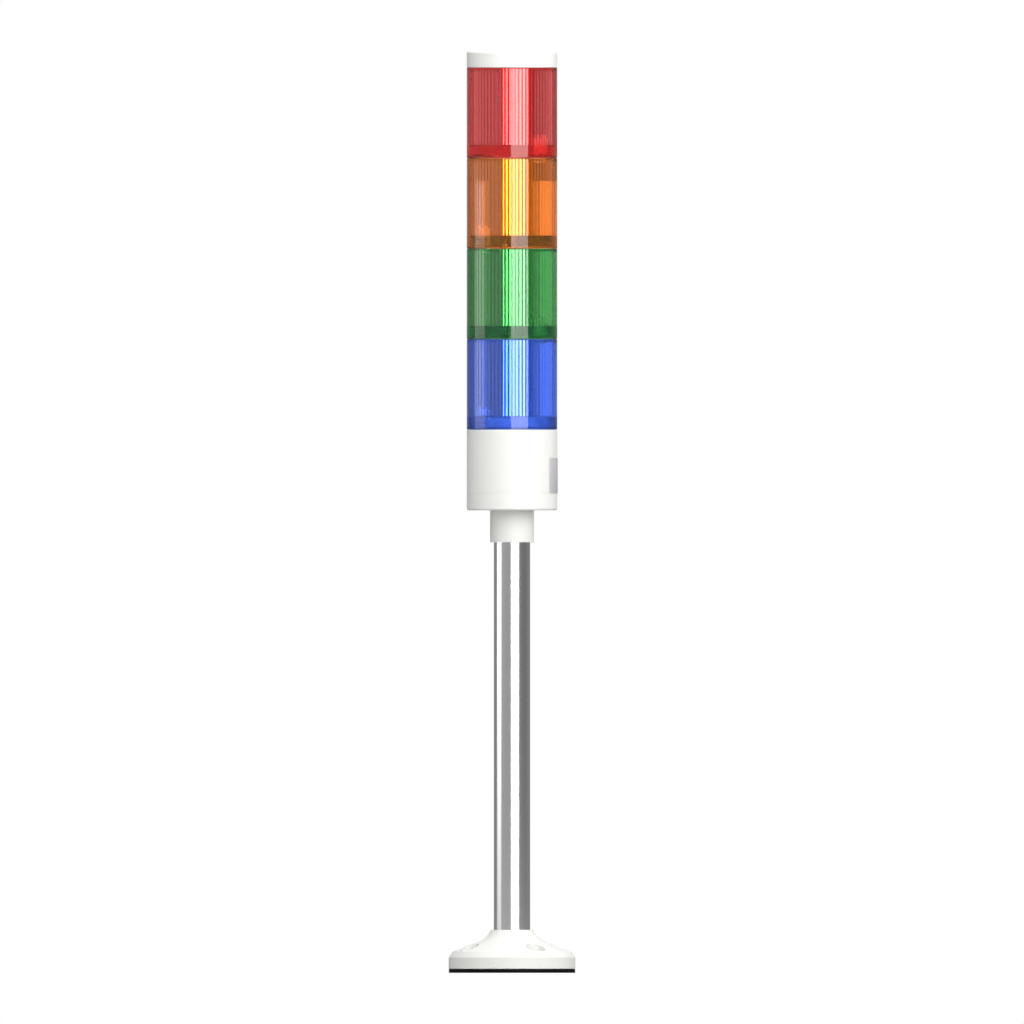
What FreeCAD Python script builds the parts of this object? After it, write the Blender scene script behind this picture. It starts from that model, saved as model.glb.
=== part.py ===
"""Stack light: four light tiers on a head, on a tube with a round mounting flange.

Frame: +Z up, origin at the centre of the gasket's underside, front towards -Y. Millimetres.
"""
import FreeCAD, Part
import math
import os

import Sketcher
from FreeCAD import Placement, Rotation, Vector

doc = FreeCAD.newDocument("stack_light")

# ---------------------------------------------------------------------------
# Driving dimensions
# ---------------------------------------------------------------------------

SIZES = {
    # turns are measured from the front, which lies this far before the +X axis
    "front_turn": 90.0,
    # mounting flange and its gasket
    "gasket_thickness": 2.6,
    "gasket_inset": 0.1,
    "gasket_opening": 36.0,
    "flange_diameter": 84.0,
    "flange_height": 25.9,
    "flange_side_height": 7.6,
    "flange_foot_chamfer": 0.5,
    "flange_shoulder_height": 4.0,
    "flange_shoulder_inset": 2.8,
    "flare_start_radius": 22.5,
    "flare_start_height": 17.9,
    "flare_radius": 15.3,
    "flange_rim_width": 2.0,
    "recess_diameter": 35.0,
    "recess_depth": 5.8,
    "recess_roof": 3.6,
    "screw_count": 4,
    "screw_circle": 65.0,
    "screw_turn": 29.0,
    "screw_hole": 5.5,
    "counterbore_diameter": 12.8,
    "counterbore_floor": 5.4,
    # tube and the two hollow bolts that clamp it
    "pole_diameter": 24.0,
    "pole_bore": 21.0,
    "pole_length": 288.7,
    "pole_fit": 0.1,
    "bolt_fit": 0.1,
    "bolt_bore": 14.0,
    "bolt_reach": 15.0,
    "bolt_head_flats": 24.0,
    "bolt_head_height": 4.2,
    "bolt_hole_fit": 0.3,
    "washer_thickness": 1.2,
    "washer_diameter": 28.4,
    "collar_diameter": 29.0,
    "collar_height": 21.2,
    "collar_grip": 15.2,
    "collar_edge_round": 0.4,
    # head
    "head_diameter": 60.0,
    "cover_height": 11.2,
    "cover_floor": 3.0,
    "cover_edge_round": 1.5,
    "spigot_height": 4.0,
    "spigot_wall": 2.0,
    "spigot_fit": 0.2,
    "seam_chamfer": 0.2,
    "cover_seal_depth": 1.0,
    "cover_seal_height": 1.6,
    "cover_seal_squeeze": 0.05,
    "housing_height": 42.3,
    "housing_wall": 2.6,
    "housing_top_chamfer": 0.8,
    "cover_screw_count": 3,
    "cover_screw_circle": 48.0,
    "cover_screw_turn": 30.0,
    "cover_boss_diameter": 7.2,
    "cover_boss_gap": 0.3,
    "cover_screw_diameter": 2.9,
    "cover_screw_reach": 9.0,
    "cover_screw_head": 5.5,
    "cover_screw_head_height": 2.2,
    "cover_counterbore": 6.4,
    "cover_counterbore_depth": 2.6,
    "thread_fit": 0.05,
    # label on the side of the housing
    "label_width_angle": 72.0,
    "label_turn": 55.0,
    "label_height": 23.4,
    "label_foot": 0.2,
    "label_thickness": 0.35,
    # control board inside the head
    "board_thickness": 1.6,
    "control_board_diameter": 40.0,
    "control_board_height": 20.3,
    "board_post_count": 3,
    "board_post_circle": 35.0,
    "board_post_turn": 90.0,
    "board_post_diameter": 4.6,
    "board_screw_diameter": 2.4,
    "board_screw_length": 7.0,
    "board_screw_head": 4.4,
    "board_screw_head_height": 1.8,
    "terminal_width": 20.0,
    "terminal_depth": 7.0,
    "terminal_height": 8.0,
    "terminal_setback": 13.0,
    "terminal_poles": 6,
    "terminal_screw_hole": 2.2,
    # twist joint between the tiers
    "tier_pitch": 60.0,
    "joint_gap": 0.1,
    "edge_chamfer": 0.4,
    "neck_diameter": 54.4,
    "neck_height": 8.65,
    "neck_wall": 1.6,
    "neck_round": 1.3,
    "shelf_width": 2.0,
    "shelf_thickness": 1.8,
    "skirt_wall": 1.6,
    "lip_wall": 0.7,
    "run_clearance": 0.3,
    "seal_height": 1.45,
    "seal_inner_gap": 0.1,
    "seal_chamfer": 0.4,
    "lug_count": 2,
    "lug_angle": 24.0,
    "lug_turn": -49.0,
    "lug_height": 1.6,
    "tab_foot": 3.4,
    "lug_root": 0.5,
    # light tiers
    "rib_count": 72,
    "rib_depth": 1.2,
    "rib_wall": 2.3,
    "gusset_height": 2.7,
    "gusset_width": 1.6,
    "gusset_spread": 30.0,
    "board_fit": 0.3,
    "hook_count": 3,
    "hook_turn": 90.0,
    "hook_angle": 8.0,
    "hook_overlap": 0.6,
    "hook_gap": 0.2,
    "hook_height": 1.0,
    "chip_count": 16,
    "chip_circle": 45.0,
    "chip_size": 3.0,
    "chip_height": 1.4,
    "column_offset": 17.9,
    "column_width": 8.6,
    "column_depth": 5.0,
    "column_height": 13.25,
    "column_prong_height": 2.3,
    "column_prong_width": 1.9,
    "column_prong_spacing": 4.2,
    "column_stem_step": 0.6,
    "column_stem_drop": 2.7,
    "column_slot_fit": 0.2,
    "post_diameter": 6.0,
    "post_end_gap": 0.3,
    "socket_depth": 6.0,
    "socket_wall": 1.7,
    # cap
    "cap_height": 10.8,
    "cap_edge_round": 1.2,
}

sizes = doc.addObject("Spreadsheet::Sheet", "Sizes")
for row, (alias, number) in enumerate(SIZES.items(), start=1):
    sizes.set(f"A{row}", alias)
    sizes.set(f"B{row}", str(number))
    sizes.setAlias(f"B{row}", alias)
doc.recompute()

# ---------------------------------------------------------------------------
# Radii and heights that follow from the driving dimensions
# ---------------------------------------------------------------------------

LEVELS = {
    # heights above the origin
    "flange_side_top": "Sizes.gasket_thickness + Sizes.flange_side_height",
    "flange_shoulder_top": "Levels.flange_side_top + Sizes.flange_shoulder_height",
    "flare_start": "Sizes.gasket_thickness + Sizes.flare_start_height",
    "flange_top": "Sizes.gasket_thickness + Sizes.flange_height",
    "recess_top": "Sizes.gasket_thickness + Sizes.recess_depth",
    "pole_foot": "Levels.recess_top + Sizes.recess_roof",
    "pole_top": "Levels.pole_foot + Sizes.pole_length",
    "collar_foot": "Levels.pole_top - Sizes.collar_grip",
    "head_foot": "Levels.collar_foot + Sizes.collar_height",
    "cover_floor_top": "Levels.head_foot + Sizes.cover_floor",
    "cover_rim": "Levels.head_foot + Sizes.cover_height",
    "spigot_top": "Levels.cover_rim + Sizes.spigot_height",
    "control_board_foot": "Levels.cover_floor_top + Sizes.control_board_height",
    "control_board_top": "Levels.control_board_foot + Sizes.board_thickness",
    "joint_0": "Levels.cover_rim + Sizes.housing_height",
    "joint_1": "Levels.joint_0 + Sizes.tier_pitch",
    "joint_2": "Levels.joint_1 + Sizes.tier_pitch",
    "joint_3": "Levels.joint_2 + Sizes.tier_pitch",
    "joint_4": "Levels.joint_3 + Sizes.tier_pitch",
    # radii
    "pole_radius": "Sizes.pole_diameter / 2",
    "pole_seat_radius": "Levels.pole_radius + Sizes.pole_fit",
    "bolt_radius": "Sizes.pole_bore / 2 - Sizes.bolt_fit",
    "bolt_hole_radius": "Levels.bolt_radius + Sizes.bolt_hole_fit",
    "head_radius": "Sizes.head_diameter / 2",
    "housing_inner_radius": "Levels.head_radius - Sizes.housing_wall",
    "spigot_radius": "Levels.housing_inner_radius - Sizes.spigot_fit",
    "neck_radius": "Sizes.neck_diameter / 2",
    "neck_inner_radius": "Levels.neck_radius - Sizes.neck_wall",
    "shelf_radius": "Levels.neck_inner_radius - Sizes.shelf_width",
    "skirt_radius": "Levels.head_radius - Sizes.skirt_wall",
    "lip_radius": "Levels.head_radius - Sizes.lip_wall",
    "rib_root_radius": "Levels.head_radius - Sizes.rib_wall",
    "board_radius": "Levels.neck_inner_radius - Sizes.board_fit",
    # heights above a twist joint
    "rebate_roof": "Sizes.seal_height + Sizes.run_clearance",
    "skirt_top": "Sizes.neck_height + Sizes.run_clearance",
    "shelf_foot": "Sizes.tier_pitch - Sizes.shelf_thickness",
    "lug_foot": "Sizes.tab_foot + Sizes.lug_height + Sizes.run_clearance",
    "hook_foot": "Sizes.board_thickness + Sizes.hook_gap",
}

levels = doc.addObject("App::VarSet", "Levels")
for name in LEVELS:
    levels.addProperty("App::PropertyFloat", name, "Levels")
for name, rule in LEVELS.items():
    levels.setExpression(name, rule.replace("Levels.", ""))
doc.recompute()


def size(name):
    """A driving dimension as a number."""
    return float(sizes.get(name))


def level(name):
    """A worked-out radius or height as a number."""
    return getattr(levels, name)


def value(rule):
    """The number that an expression on Sizes and Levels stands for now."""
    return float(levels.evalExpression(rule.replace("Levels.", "")))


# ---------------------------------------------------------------------------
# Builders
# ---------------------------------------------------------------------------

subparts = {}


def cylinder(name, radius, height, foot="0", x="0", y="0"):
    """An upright cylinder."""
    made = doc.addObject("Part::Cylinder", name)
    made.setExpression("Radius", radius)
    made.setExpression("Height", height)
    made.setExpression("Placement.Base.x", x)
    made.setExpression("Placement.Base.y", y)
    made.setExpression("Placement.Base.z", foot)
    return made


def box(name, length, width, height, x, y, foot):
    """An upright box from its lowest corner."""
    made = doc.addObject("Part::Box", name)
    made.setExpression("Length", length)
    made.setExpression("Width", width)
    made.setExpression("Height", height)
    made.setExpression("Placement.Base.x", x)
    made.setExpression("Placement.Base.y", y)
    made.setExpression("Placement.Base.z", foot)
    return made


def cut(name, base, tools):
    """The base less every tool."""
    made = doc.addObject("Part::Cut", name)
    made.Base = base
    made.Tool = tools[0] if len(tools) == 1 else group(f"{name}_tools", tools)
    return made


def fuse(name, pieces):
    """Pieces moulded as one."""
    made = doc.addObject("Part::MultiFuse", name)
    made.Shapes = pieces
    made.Refine = True
    return made


def group(name, pieces):
    """Separate pieces held in one object."""
    made = doc.addObject("Part::Compound", name)
    made.Links = pieces
    return made


def on_circle(name, circle, count, turn, make):
    """Copies around the Z axis: make(name, x, y) gets the place of each on the circle."""
    copies = []
    for index in range(int(size(count))):
        angle = f"{turn} + {index} * 360 / Sizes.{count}"
        x = f"Sizes.{circle} / 2 * cos({angle})"
        y = f"Sizes.{circle} / 2 * sin({angle})"
        copies.append(make(f"{name}_{index + 1}", x, y))
    return copies


def sector(name, inner, outer, foot, height, centre, width):
    """A piece of a ring, width degrees wide about the angle centre."""
    rim = doc.addObject("Part::Cylinder", f"{name}_rim")
    rim.setExpression("Radius", outer)
    rim.setExpression("Height", height)
    rim.setExpression("Angle", width)
    rim.setExpression("Placement.Base.z", foot)
    rim.Placement.Rotation = Rotation(Vector(0, 0, 1), 0)
    rim.setExpression("Placement.Rotation.Angle", f"{centre} - {width} / 2")
    core = cylinder(f"{name}_core", inner, height, foot)
    return cut(name, rim, [core])


def sectors(name, inner, outer, foot, height, count, turn, width):
    """Pieces of a ring spread evenly around the Z axis."""
    made = []
    for index in range(int(size(count))):
        piece_turn = f"{turn} + {index} * 360 / Sizes.{count}"
        made.append(sector(f"{name}_{index + 1}", inner, outer, foot, height, piece_turn, width))
    return made


def origin_plane(body, role):
    """One of a body's own origin planes."""
    return next(feature for feature in body.Origin.OriginFeatures if feature.Role == role)


def arc_middle(start, end, radius):
    """The middle point of the arc that turns left from start to end (right for a negative radius)."""
    chord = end - start
    half = chord.Length / 2
    centre_offset = math.sqrt(max(radius * radius - half * half, 0.0))
    normal = Vector(chord.y, -chord.x, 0).normalize()
    side = 1 if radius > 0 else -1
    return (start + end) * 0.5 + normal * side * (abs(radius) - centre_offset)


def draw_outline(sketch, corners):
    """Close lines and arcs through corners (across, up[, radius of the arc to the next corner])."""
    points = [Vector(value(corner[0]), value(corner[1]), 0) for corner in corners]
    ends = []
    for index, corner in enumerate(corners):
        start = points[index]
        end = points[(index + 1) % len(points)]
        turns_right = len(corner) == 3 and value(corner[2]) < 0
        if len(corner) == 2:
            edge = Part.LineSegment(start, end)
        elif turns_right:
            edge = Part.Arc(end, arc_middle(start, end, value(corner[2])), start)
        else:
            edge = Part.Arc(start, arc_middle(start, end, value(corner[2])), end)
        sketch.addGeometry(edge, False)
        ends.append((2, 1) if turns_right else (1, 2))
    for index, corner in enumerate(corners):
        first = ends[index][0]
        before = index - 1 if index else len(corners) - 1
        sketch.addConstraint(Sketcher.Constraint("Coincident", before, ends[before][1], index, first))
        across = ("across", "DistanceX", points[index].x, corner[0])
        up = ("up", "DistanceY", points[index].y, corner[1])
        for axis, kind, distance, rule in (across, up):
            made = sketch.addConstraint(Sketcher.Constraint(kind, -1, 1, index, first, distance))
            sketch.renameConstraint(made, f"{axis}_{index}")
            sketch.setExpression(f"Constraints.{axis}_{index}", rule)
        if len(corner) == 3:
            made = sketch.addConstraint(Sketcher.Constraint("Radius", index, abs(value(corner[2]))))
            sketch.renameConstraint(made, f"arc_{index}")
            sketch.setExpression(f"Constraints.arc_{index}", f"abs({corner[2]})")


def outlined_body(name, role, corners):
    """A body with one closed outline on an origin plane; returns the body and its sketch."""
    body = doc.addObject("PartDesign::Body", name)
    sketch = body.newObject("Sketcher::SketchObject", f"{name}_outline")
    sketch.AttachmentSupport = [(origin_plane(body, role), "")]
    sketch.MapMode = "FlatFace"
    draw_outline(sketch, corners)
    return body, sketch


def turned(name, corners, angle="360"):
    """A body turned about the Z axis from an outline of (radius, height) corners."""
    body, sketch = outlined_body(name, "XZ_Plane", corners)
    revolution = body.newObject("PartDesign::Revolution", f"{name}_turned")
    revolution.Profile = sketch
    revolution.ReferenceAxis = (sketch, ["V_Axis"])
    revolution.setExpression("Angle", angle)
    sketch.Visibility = False
    return body


def node(label, made, foot=None, turn=0):
    """Keeps a finished piece as a sub-part; a foot places a copy of a shared form at that height."""
    if foot is not None:
        made = group(f"{label}_placed", [made])
        made.Placement = Placement(Vector(0, 0, 0), Rotation(Vector(0, 0, 1), turn))
        made.setExpression("Placement.Base.z", foot)
    made.Label = label
    subparts[label] = made
    return made


# ---------------------------------------------------------------------------
# Gasket and mounting flange
# ---------------------------------------------------------------------------

# Angles here are measured from the front, -Y, towards +X.
SCREW_TURN = "Sizes.screw_turn - Sizes.front_turn"

gasket_disc = cylinder(
    "gasket_disc", "Sizes.flange_diameter / 2 - Sizes.gasket_inset", "Sizes.gasket_thickness"
)
gasket_hole = cylinder("gasket_hole", "Sizes.gasket_opening / 2", "Sizes.gasket_thickness")
gasket_screw_holes = on_circle(
    "gasket_screw_hole",
    "screw_circle",
    "screw_count",
    SCREW_TURN,
    lambda name, x, y: cylinder(name, "Sizes.screw_hole / 2", "Sizes.gasket_thickness", "0", x, y),
)
node("base_gasket", cut("gasket", gasket_disc, [gasket_hole] + gasket_screw_holes))

flange_form = turned(
    "flange_form",
    [
        ("Levels.bolt_hole_radius", "Levels.recess_top"),
        ("Sizes.recess_diameter / 2", "Levels.recess_top"),
        ("Sizes.recess_diameter / 2", "Sizes.gasket_thickness"),
        ("Sizes.flange_diameter / 2 - Sizes.flange_foot_chamfer", "Sizes.gasket_thickness"),
        ("Sizes.flange_diameter / 2", "Sizes.gasket_thickness + Sizes.flange_foot_chamfer"),
        ("Sizes.flange_diameter / 2", "Levels.flange_side_top"),
        ("Sizes.flange_diameter / 2 - Sizes.flange_shoulder_inset", "Levels.flange_shoulder_top"),
        ("Sizes.flare_start_radius", "Levels.flare_start", "-Sizes.flare_radius"),
        ("Levels.pole_radius + Sizes.flange_rim_width", "Levels.flange_top"),
        ("Levels.pole_seat_radius", "Levels.flange_top"),
        ("Levels.pole_seat_radius", "Levels.pole_foot"),
        ("Levels.bolt_hole_radius", "Levels.pole_foot"),
    ],
)
flange_screw_holes = on_circle(
    "flange_screw_hole",
    "screw_circle",
    "screw_count",
    SCREW_TURN,
    lambda name, x, y: cylinder(
        name, "Sizes.screw_hole / 2", "Sizes.flange_height", "Sizes.gasket_thickness", x, y
    ),
)
flange_counterbores = on_circle(
    "flange_counterbore",
    "screw_circle",
    "screw_count",
    SCREW_TURN,
    lambda name, x, y: cylinder(
        name,
        "Sizes.counterbore_diameter / 2",
        "Sizes.flange_height",
        "Sizes.gasket_thickness + Sizes.counterbore_floor",
        x,
        y,
    ),
)
node("mounting_flange", cut("flange", flange_form, flange_screw_holes + flange_counterbores))

# ---------------------------------------------------------------------------
# Tube, collar, and the hollow bolts and washers that clamp both ends
# ---------------------------------------------------------------------------

node(
    "pole",
    cut(
        "pole_tube",
        cylinder("pole_outside", "Levels.pole_radius", "Sizes.pole_length", "Levels.pole_foot"),
        [cylinder("pole_inside", "Sizes.pole_bore / 2", "Sizes.pole_length", "Levels.pole_foot")],
    ),
)

node(
    "pole_collar",
    turned(
        "collar",
        [
            ("Levels.bolt_hole_radius", "Levels.head_foot"),
            ("Levels.bolt_hole_radius", "Levels.pole_top"),
            ("Levels.pole_seat_radius", "Levels.pole_top"),
            ("Levels.pole_seat_radius", "Levels.collar_foot"),
            (
                "Sizes.collar_diameter / 2 - Sizes.collar_edge_round",
                "Levels.collar_foot",
                "Sizes.collar_edge_round",
            ),
            ("Sizes.collar_diameter / 2", "Levels.collar_foot + Sizes.collar_edge_round"),
            ("Sizes.collar_diameter / 2", "Levels.head_foot"),
        ],
    ),
)


def clamp_washer(name, foot):
    """A plain washer under a hollow bolt's head."""
    disc = cylinder(f"{name}_disc", "Sizes.washer_diameter / 2", "Sizes.washer_thickness", foot)
    hole = cylinder(f"{name}_hole", "Levels.bolt_hole_radius", "Sizes.washer_thickness", foot)
    return cut(f"{name}_form", disc, [hole])


def clamp_bolt(name, head_foot, shank_foot, shank_height):
    """A hollow bolt: hexagonal head, round shank and the bore that the cable takes."""
    head = doc.addObject("Part::Prism", f"{name}_head")
    head.Polygon = 6
    head.setExpression("Circumradius", "Sizes.bolt_head_flats / sqrt(3)")
    head.setExpression("Height", "Sizes.bolt_head_height")
    head.setExpression("Placement.Base.z", head_foot)
    shank = cylinder(f"{name}_shank", "Levels.bolt_radius", shank_height, shank_foot)
    length = f"Sizes.bolt_head_height + {shank_height}"
    bore_foot = f"min({head_foot}; {shank_foot})"
    bore = cylinder(f"{name}_bore", "Sizes.bolt_bore / 2", length, bore_foot)
    return cut(f"{name}_form", fuse(f"{name}_solid", [head, shank]), [bore])


BASE_SHANK = "Sizes.washer_thickness + Sizes.recess_roof + Sizes.bolt_reach"
BASE_HEAD_TOP = "Levels.recess_top - Sizes.washer_thickness"
node("base_washer", clamp_washer("base_washer", BASE_HEAD_TOP))
node(
    "base_clamp_bolt",
    clamp_bolt("base_bolt", f"{BASE_HEAD_TOP} - Sizes.bolt_head_height", BASE_HEAD_TOP, BASE_SHANK),
)

HEAD_SHANK_FOOT = "Levels.pole_top - Sizes.bolt_reach"
HEAD_SHANK = f"Levels.cover_floor_top + Sizes.washer_thickness - ({HEAD_SHANK_FOOT})"
node("head_washer", clamp_washer("head_washer", "Levels.cover_floor_top"))
node(
    "head_clamp_bolt",
    clamp_bolt(
        "head_bolt", "Levels.cover_floor_top + Sizes.washer_thickness", HEAD_SHANK_FOOT, HEAD_SHANK
    ),
)

# ---------------------------------------------------------------------------
# Twist joint: the neck of one unit and the skirt of the unit above it
# ---------------------------------------------------------------------------

LUG_TURN = "Sizes.lug_turn - Sizes.front_turn"


def neck_corners(foot):
    """The neck above a unit's shoulder, from its outer foot to the shelf that the light board lies on."""
    top = f"{foot} + Sizes.neck_height"
    return [
        ("Levels.neck_radius", foot),
        ("Levels.neck_radius", f"{top} - Sizes.neck_round", "Sizes.neck_round"),
        ("Levels.neck_radius - Sizes.neck_round", top),
        ("Levels.neck_inner_radius", top),
        ("Levels.neck_inner_radius", foot),
        ("Levels.shelf_radius", foot),
        ("Levels.shelf_radius", f"{foot} - Sizes.shelf_thickness"),
    ]


def skirt_corners():
    """The foot of a unit, from the top of the skirt inside to the edge of its outer wall."""
    return [
        ("Levels.skirt_radius", "Levels.skirt_top"),
        ("Levels.skirt_radius", "Levels.rebate_roof"),
        ("Levels.lip_radius", "Levels.rebate_roof"),
        ("Levels.lip_radius", "Sizes.joint_gap"),
        ("Levels.head_radius - Sizes.edge_chamfer / 2", "Sizes.joint_gap"),
        ("Levels.head_radius", "Sizes.joint_gap + Sizes.edge_chamfer"),
    ]


def neck_lugs(name, foot):
    """The lugs outside a neck that hold the tabs of the unit above down, and the hooks inside it."""
    lugs = sectors(
        f"{name}_lug",
        "Levels.neck_radius - Sizes.lug_root",
        "Levels.skirt_radius - Sizes.run_clearance",
        f"{foot} + Levels.lug_foot",
        "Sizes.lug_height",
        "lug_count",
        LUG_TURN,
        "Sizes.lug_angle",
    )
    hooks = sectors(
        f"{name}_hook",
        "Levels.board_radius - Sizes.hook_overlap",
        "Levels.neck_inner_radius + Sizes.lug_root",
        f"{foot} + Levels.hook_foot",
        "Sizes.hook_height",
        "hook_count",
        "Sizes.hook_turn",
        "Sizes.hook_angle",
    )
    return lugs + hooks


def skirt_tabs(name):
    """The tabs inside a skirt that turn in under the lugs of the neck below."""
    return sectors(
        f"{name}_tab",
        "Levels.neck_radius + Sizes.run_clearance",
        "Levels.skirt_radius + Sizes.lug_root",
        "Sizes.tab_foot",
        "Sizes.lug_height",
        "lug_count",
        LUG_TURN,
        "Sizes.lug_angle",
    )


# ---------------------------------------------------------------------------
# Head: bottom cover, its seal and screws, and the housing
# ---------------------------------------------------------------------------

COVER_SCREW_TURN = "Sizes.cover_screw_turn"
SEAL_GROOVE_FOOT = "Levels.cover_rim + (Sizes.spigot_height - Sizes.cover_seal_height) / 2"
SEAL_GROOVE_RADIUS = "Levels.spigot_radius - Sizes.cover_seal_depth"

cover_form = turned(
    "cover_form",
    [
        ("Levels.bolt_hole_radius", "Levels.head_foot"),
        ("Levels.head_radius - Sizes.cover_edge_round", "Levels.head_foot", "Sizes.cover_edge_round"),
        ("Levels.head_radius", "Levels.head_foot + Sizes.cover_edge_round"),
        ("Levels.head_radius", "Levels.cover_rim - Sizes.seam_chamfer"),
        ("Levels.head_radius - Sizes.seam_chamfer", "Levels.cover_rim"),
        ("Levels.spigot_radius", "Levels.cover_rim"),
        ("Levels.spigot_radius", SEAL_GROOVE_FOOT),
        (SEAL_GROOVE_RADIUS, SEAL_GROOVE_FOOT),
        (SEAL_GROOVE_RADIUS, f"{SEAL_GROOVE_FOOT} + Sizes.cover_seal_height"),
        ("Levels.spigot_radius", f"{SEAL_GROOVE_FOOT} + Sizes.cover_seal_height"),
        ("Levels.spigot_radius", "Levels.spigot_top"),
        ("Levels.spigot_radius - Sizes.spigot_wall", "Levels.spigot_top"),
        ("Levels.spigot_radius - Sizes.spigot_wall", "Levels.cover_floor_top"),
        ("Levels.bolt_hole_radius", "Levels.cover_floor_top"),
    ],
)
cover_bosses = on_circle(
    "cover_boss",
    "cover_screw_circle",
    "cover_screw_count",
    COVER_SCREW_TURN,
    lambda name, x, y: cylinder(
        name,
        "Sizes.cover_boss_diameter / 2",
        "Levels.spigot_top - Levels.cover_floor_top",
        "Levels.cover_floor_top",
        x,
        y,
    ),
)
cover_boss_limit = cylinder(
    "cover_boss_limit",
    f"{SEAL_GROOVE_RADIUS}",
    "Levels.spigot_top - Levels.cover_floor_top",
    "Levels.cover_floor_top",
)
trimmed_bosses = doc.addObject("Part::Common", "trimmed_bosses")
trimmed_bosses.Base = group("cover_bosses", cover_bosses)
trimmed_bosses.Tool = cover_boss_limit
board_posts = on_circle(
    "board_post",
    "board_post_circle",
    "board_post_count",
    "Sizes.board_post_turn",
    lambda name, x, y: cylinder(
        name,
        "Sizes.board_post_diameter / 2",
        "Sizes.control_board_height",
        "Levels.cover_floor_top",
        x,
        y,
    ),
)
cover_screw_holes = on_circle(
    "cover_screw_hole",
    "cover_screw_circle",
    "cover_screw_count",
    COVER_SCREW_TURN,
    lambda name, x, y: cylinder(
        name,
        "Sizes.cover_screw_diameter / 2 + Sizes.thread_fit",
        "Levels.spigot_top - Levels.head_foot",
        "Levels.head_foot",
        x,
        y,
    ),
)
cover_counterbores = on_circle(
    "cover_counterbore",
    "cover_screw_circle",
    "cover_screw_count",
    COVER_SCREW_TURN,
    lambda name, x, y: cylinder(
        name, "Sizes.cover_counterbore / 2", "Sizes.cover_counterbore_depth", "Levels.head_foot", x, y
    ),
)
board_pilot_holes = on_circle(
    "board_pilot_hole",
    "board_post_circle",
    "board_post_count",
    "Sizes.board_post_turn",
    lambda name, x, y: cylinder(
        name,
        "Sizes.board_screw_diameter / 2 + Sizes.thread_fit",
        "Sizes.board_screw_length",
        "Levels.control_board_top - Sizes.board_screw_length",
        x,
        y,
    ),
)
cover_solid = fuse("cover_solid", [cover_form, trimmed_bosses] + board_posts)
node(
    "bottom_cover",
    cut("cover", cover_solid, cover_screw_holes + cover_counterbores + board_pilot_holes),
)

node(
    "cover_seal",
    turned(
        "cover_seal_ring",
        [
            (SEAL_GROOVE_RADIUS, SEAL_GROOVE_FOOT),
            ("Levels.housing_inner_radius - Sizes.cover_seal_squeeze", SEAL_GROOVE_FOOT),
            (
                "Levels.housing_inner_radius - Sizes.cover_seal_squeeze",
                f"{SEAL_GROOVE_FOOT} + Sizes.cover_seal_height",
            ),
            (SEAL_GROOVE_RADIUS, f"{SEAL_GROOVE_FOOT} + Sizes.cover_seal_height"),
        ],
    ),
)


def cover_screw(name, x, y):
    """A cover screw: a cheese head in the counterbore and a shank up into the housing's boss."""
    seat = "Levels.head_foot + Sizes.cover_counterbore_depth"
    head = cylinder(
        f"{name}_head",
        "Sizes.cover_screw_head / 2",
        "Sizes.cover_screw_head_height",
        f"{seat} - Sizes.cover_screw_head_height",
        x,
        y,
    )
    shank = cylinder(
        f"{name}_shank",
        "Sizes.cover_screw_diameter / 2",
        f"Levels.spigot_top + Sizes.cover_boss_gap + Sizes.cover_screw_reach - ({seat})",
        seat,
        x,
        y,
    )
    return fuse(name, [head, shank])


node(
    "cover_screws",
    group(
        "cover_screw_set",
        on_circle("cover_screw", "cover_screw_circle", "cover_screw_count", COVER_SCREW_TURN, cover_screw),
    ),
)

housing_form = turned(
    "housing_form",
    neck_corners("Levels.joint_0")
    + [
        ("Levels.housing_inner_radius", "Levels.joint_0 - Sizes.shelf_thickness"),
        ("Levels.housing_inner_radius", "Levels.cover_rim"),
        ("Levels.head_radius - Sizes.seam_chamfer", "Levels.cover_rim"),
        ("Levels.head_radius", "Levels.cover_rim + Sizes.seam_chamfer"),
        ("Levels.head_radius", "Levels.joint_0 - Sizes.housing_top_chamfer"),
        ("Levels.head_radius - Sizes.housing_top_chamfer", "Levels.joint_0"),
    ],
)
HOUSING_BOSS_FOOT = "Levels.spigot_top + Sizes.cover_boss_gap"
housing_bosses = on_circle(
    "housing_boss",
    "cover_screw_circle",
    "cover_screw_count",
    COVER_SCREW_TURN,
    lambda name, x, y: cylinder(
        name,
        "Sizes.cover_boss_diameter / 2",
        f"Levels.joint_0 - Sizes.shelf_thickness - ({HOUSING_BOSS_FOOT})",
        HOUSING_BOSS_FOOT,
        x,
        y,
    ),
)
housing_pilot_holes = on_circle(
    "housing_pilot_hole",
    "cover_screw_circle",
    "cover_screw_count",
    COVER_SCREW_TURN,
    lambda name, x, y: cylinder(
        name,
        "Sizes.cover_screw_diameter / 2 + Sizes.thread_fit",
        "Sizes.cover_screw_reach + 2 * Sizes.thread_fit",
        HOUSING_BOSS_FOOT,
        x,
        y,
    ),
)
housing_lugs = neck_lugs("housing", "Levels.joint_0")
housing_solid = fuse("housing_solid", [housing_form] + housing_bosses + housing_lugs)
node("housing", cut("housing_cut", housing_solid, housing_pilot_holes))

label_form = turned(
    "label_form",
    [
        ("Levels.head_radius", "Sizes.label_foot"),
        ("Levels.head_radius + Sizes.label_thickness", "Sizes.label_foot"),
        ("Levels.head_radius + Sizes.label_thickness", "Sizes.label_foot + Sizes.label_height"),
        ("Levels.head_radius", "Sizes.label_foot + Sizes.label_height"),
    ],
    "Sizes.label_width_angle",
)
label_form.Placement.Rotation = Rotation(Vector(0, 0, 1), 0)
label_form.setExpression("Placement.Rotation.Angle", "Sizes.label_turn - Sizes.front_turn")
label_form.setExpression("Placement.Base.z", "Levels.cover_rim")
node("label_plate", label_form)

# ---------------------------------------------------------------------------
# Control board in the head
# ---------------------------------------------------------------------------

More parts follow.
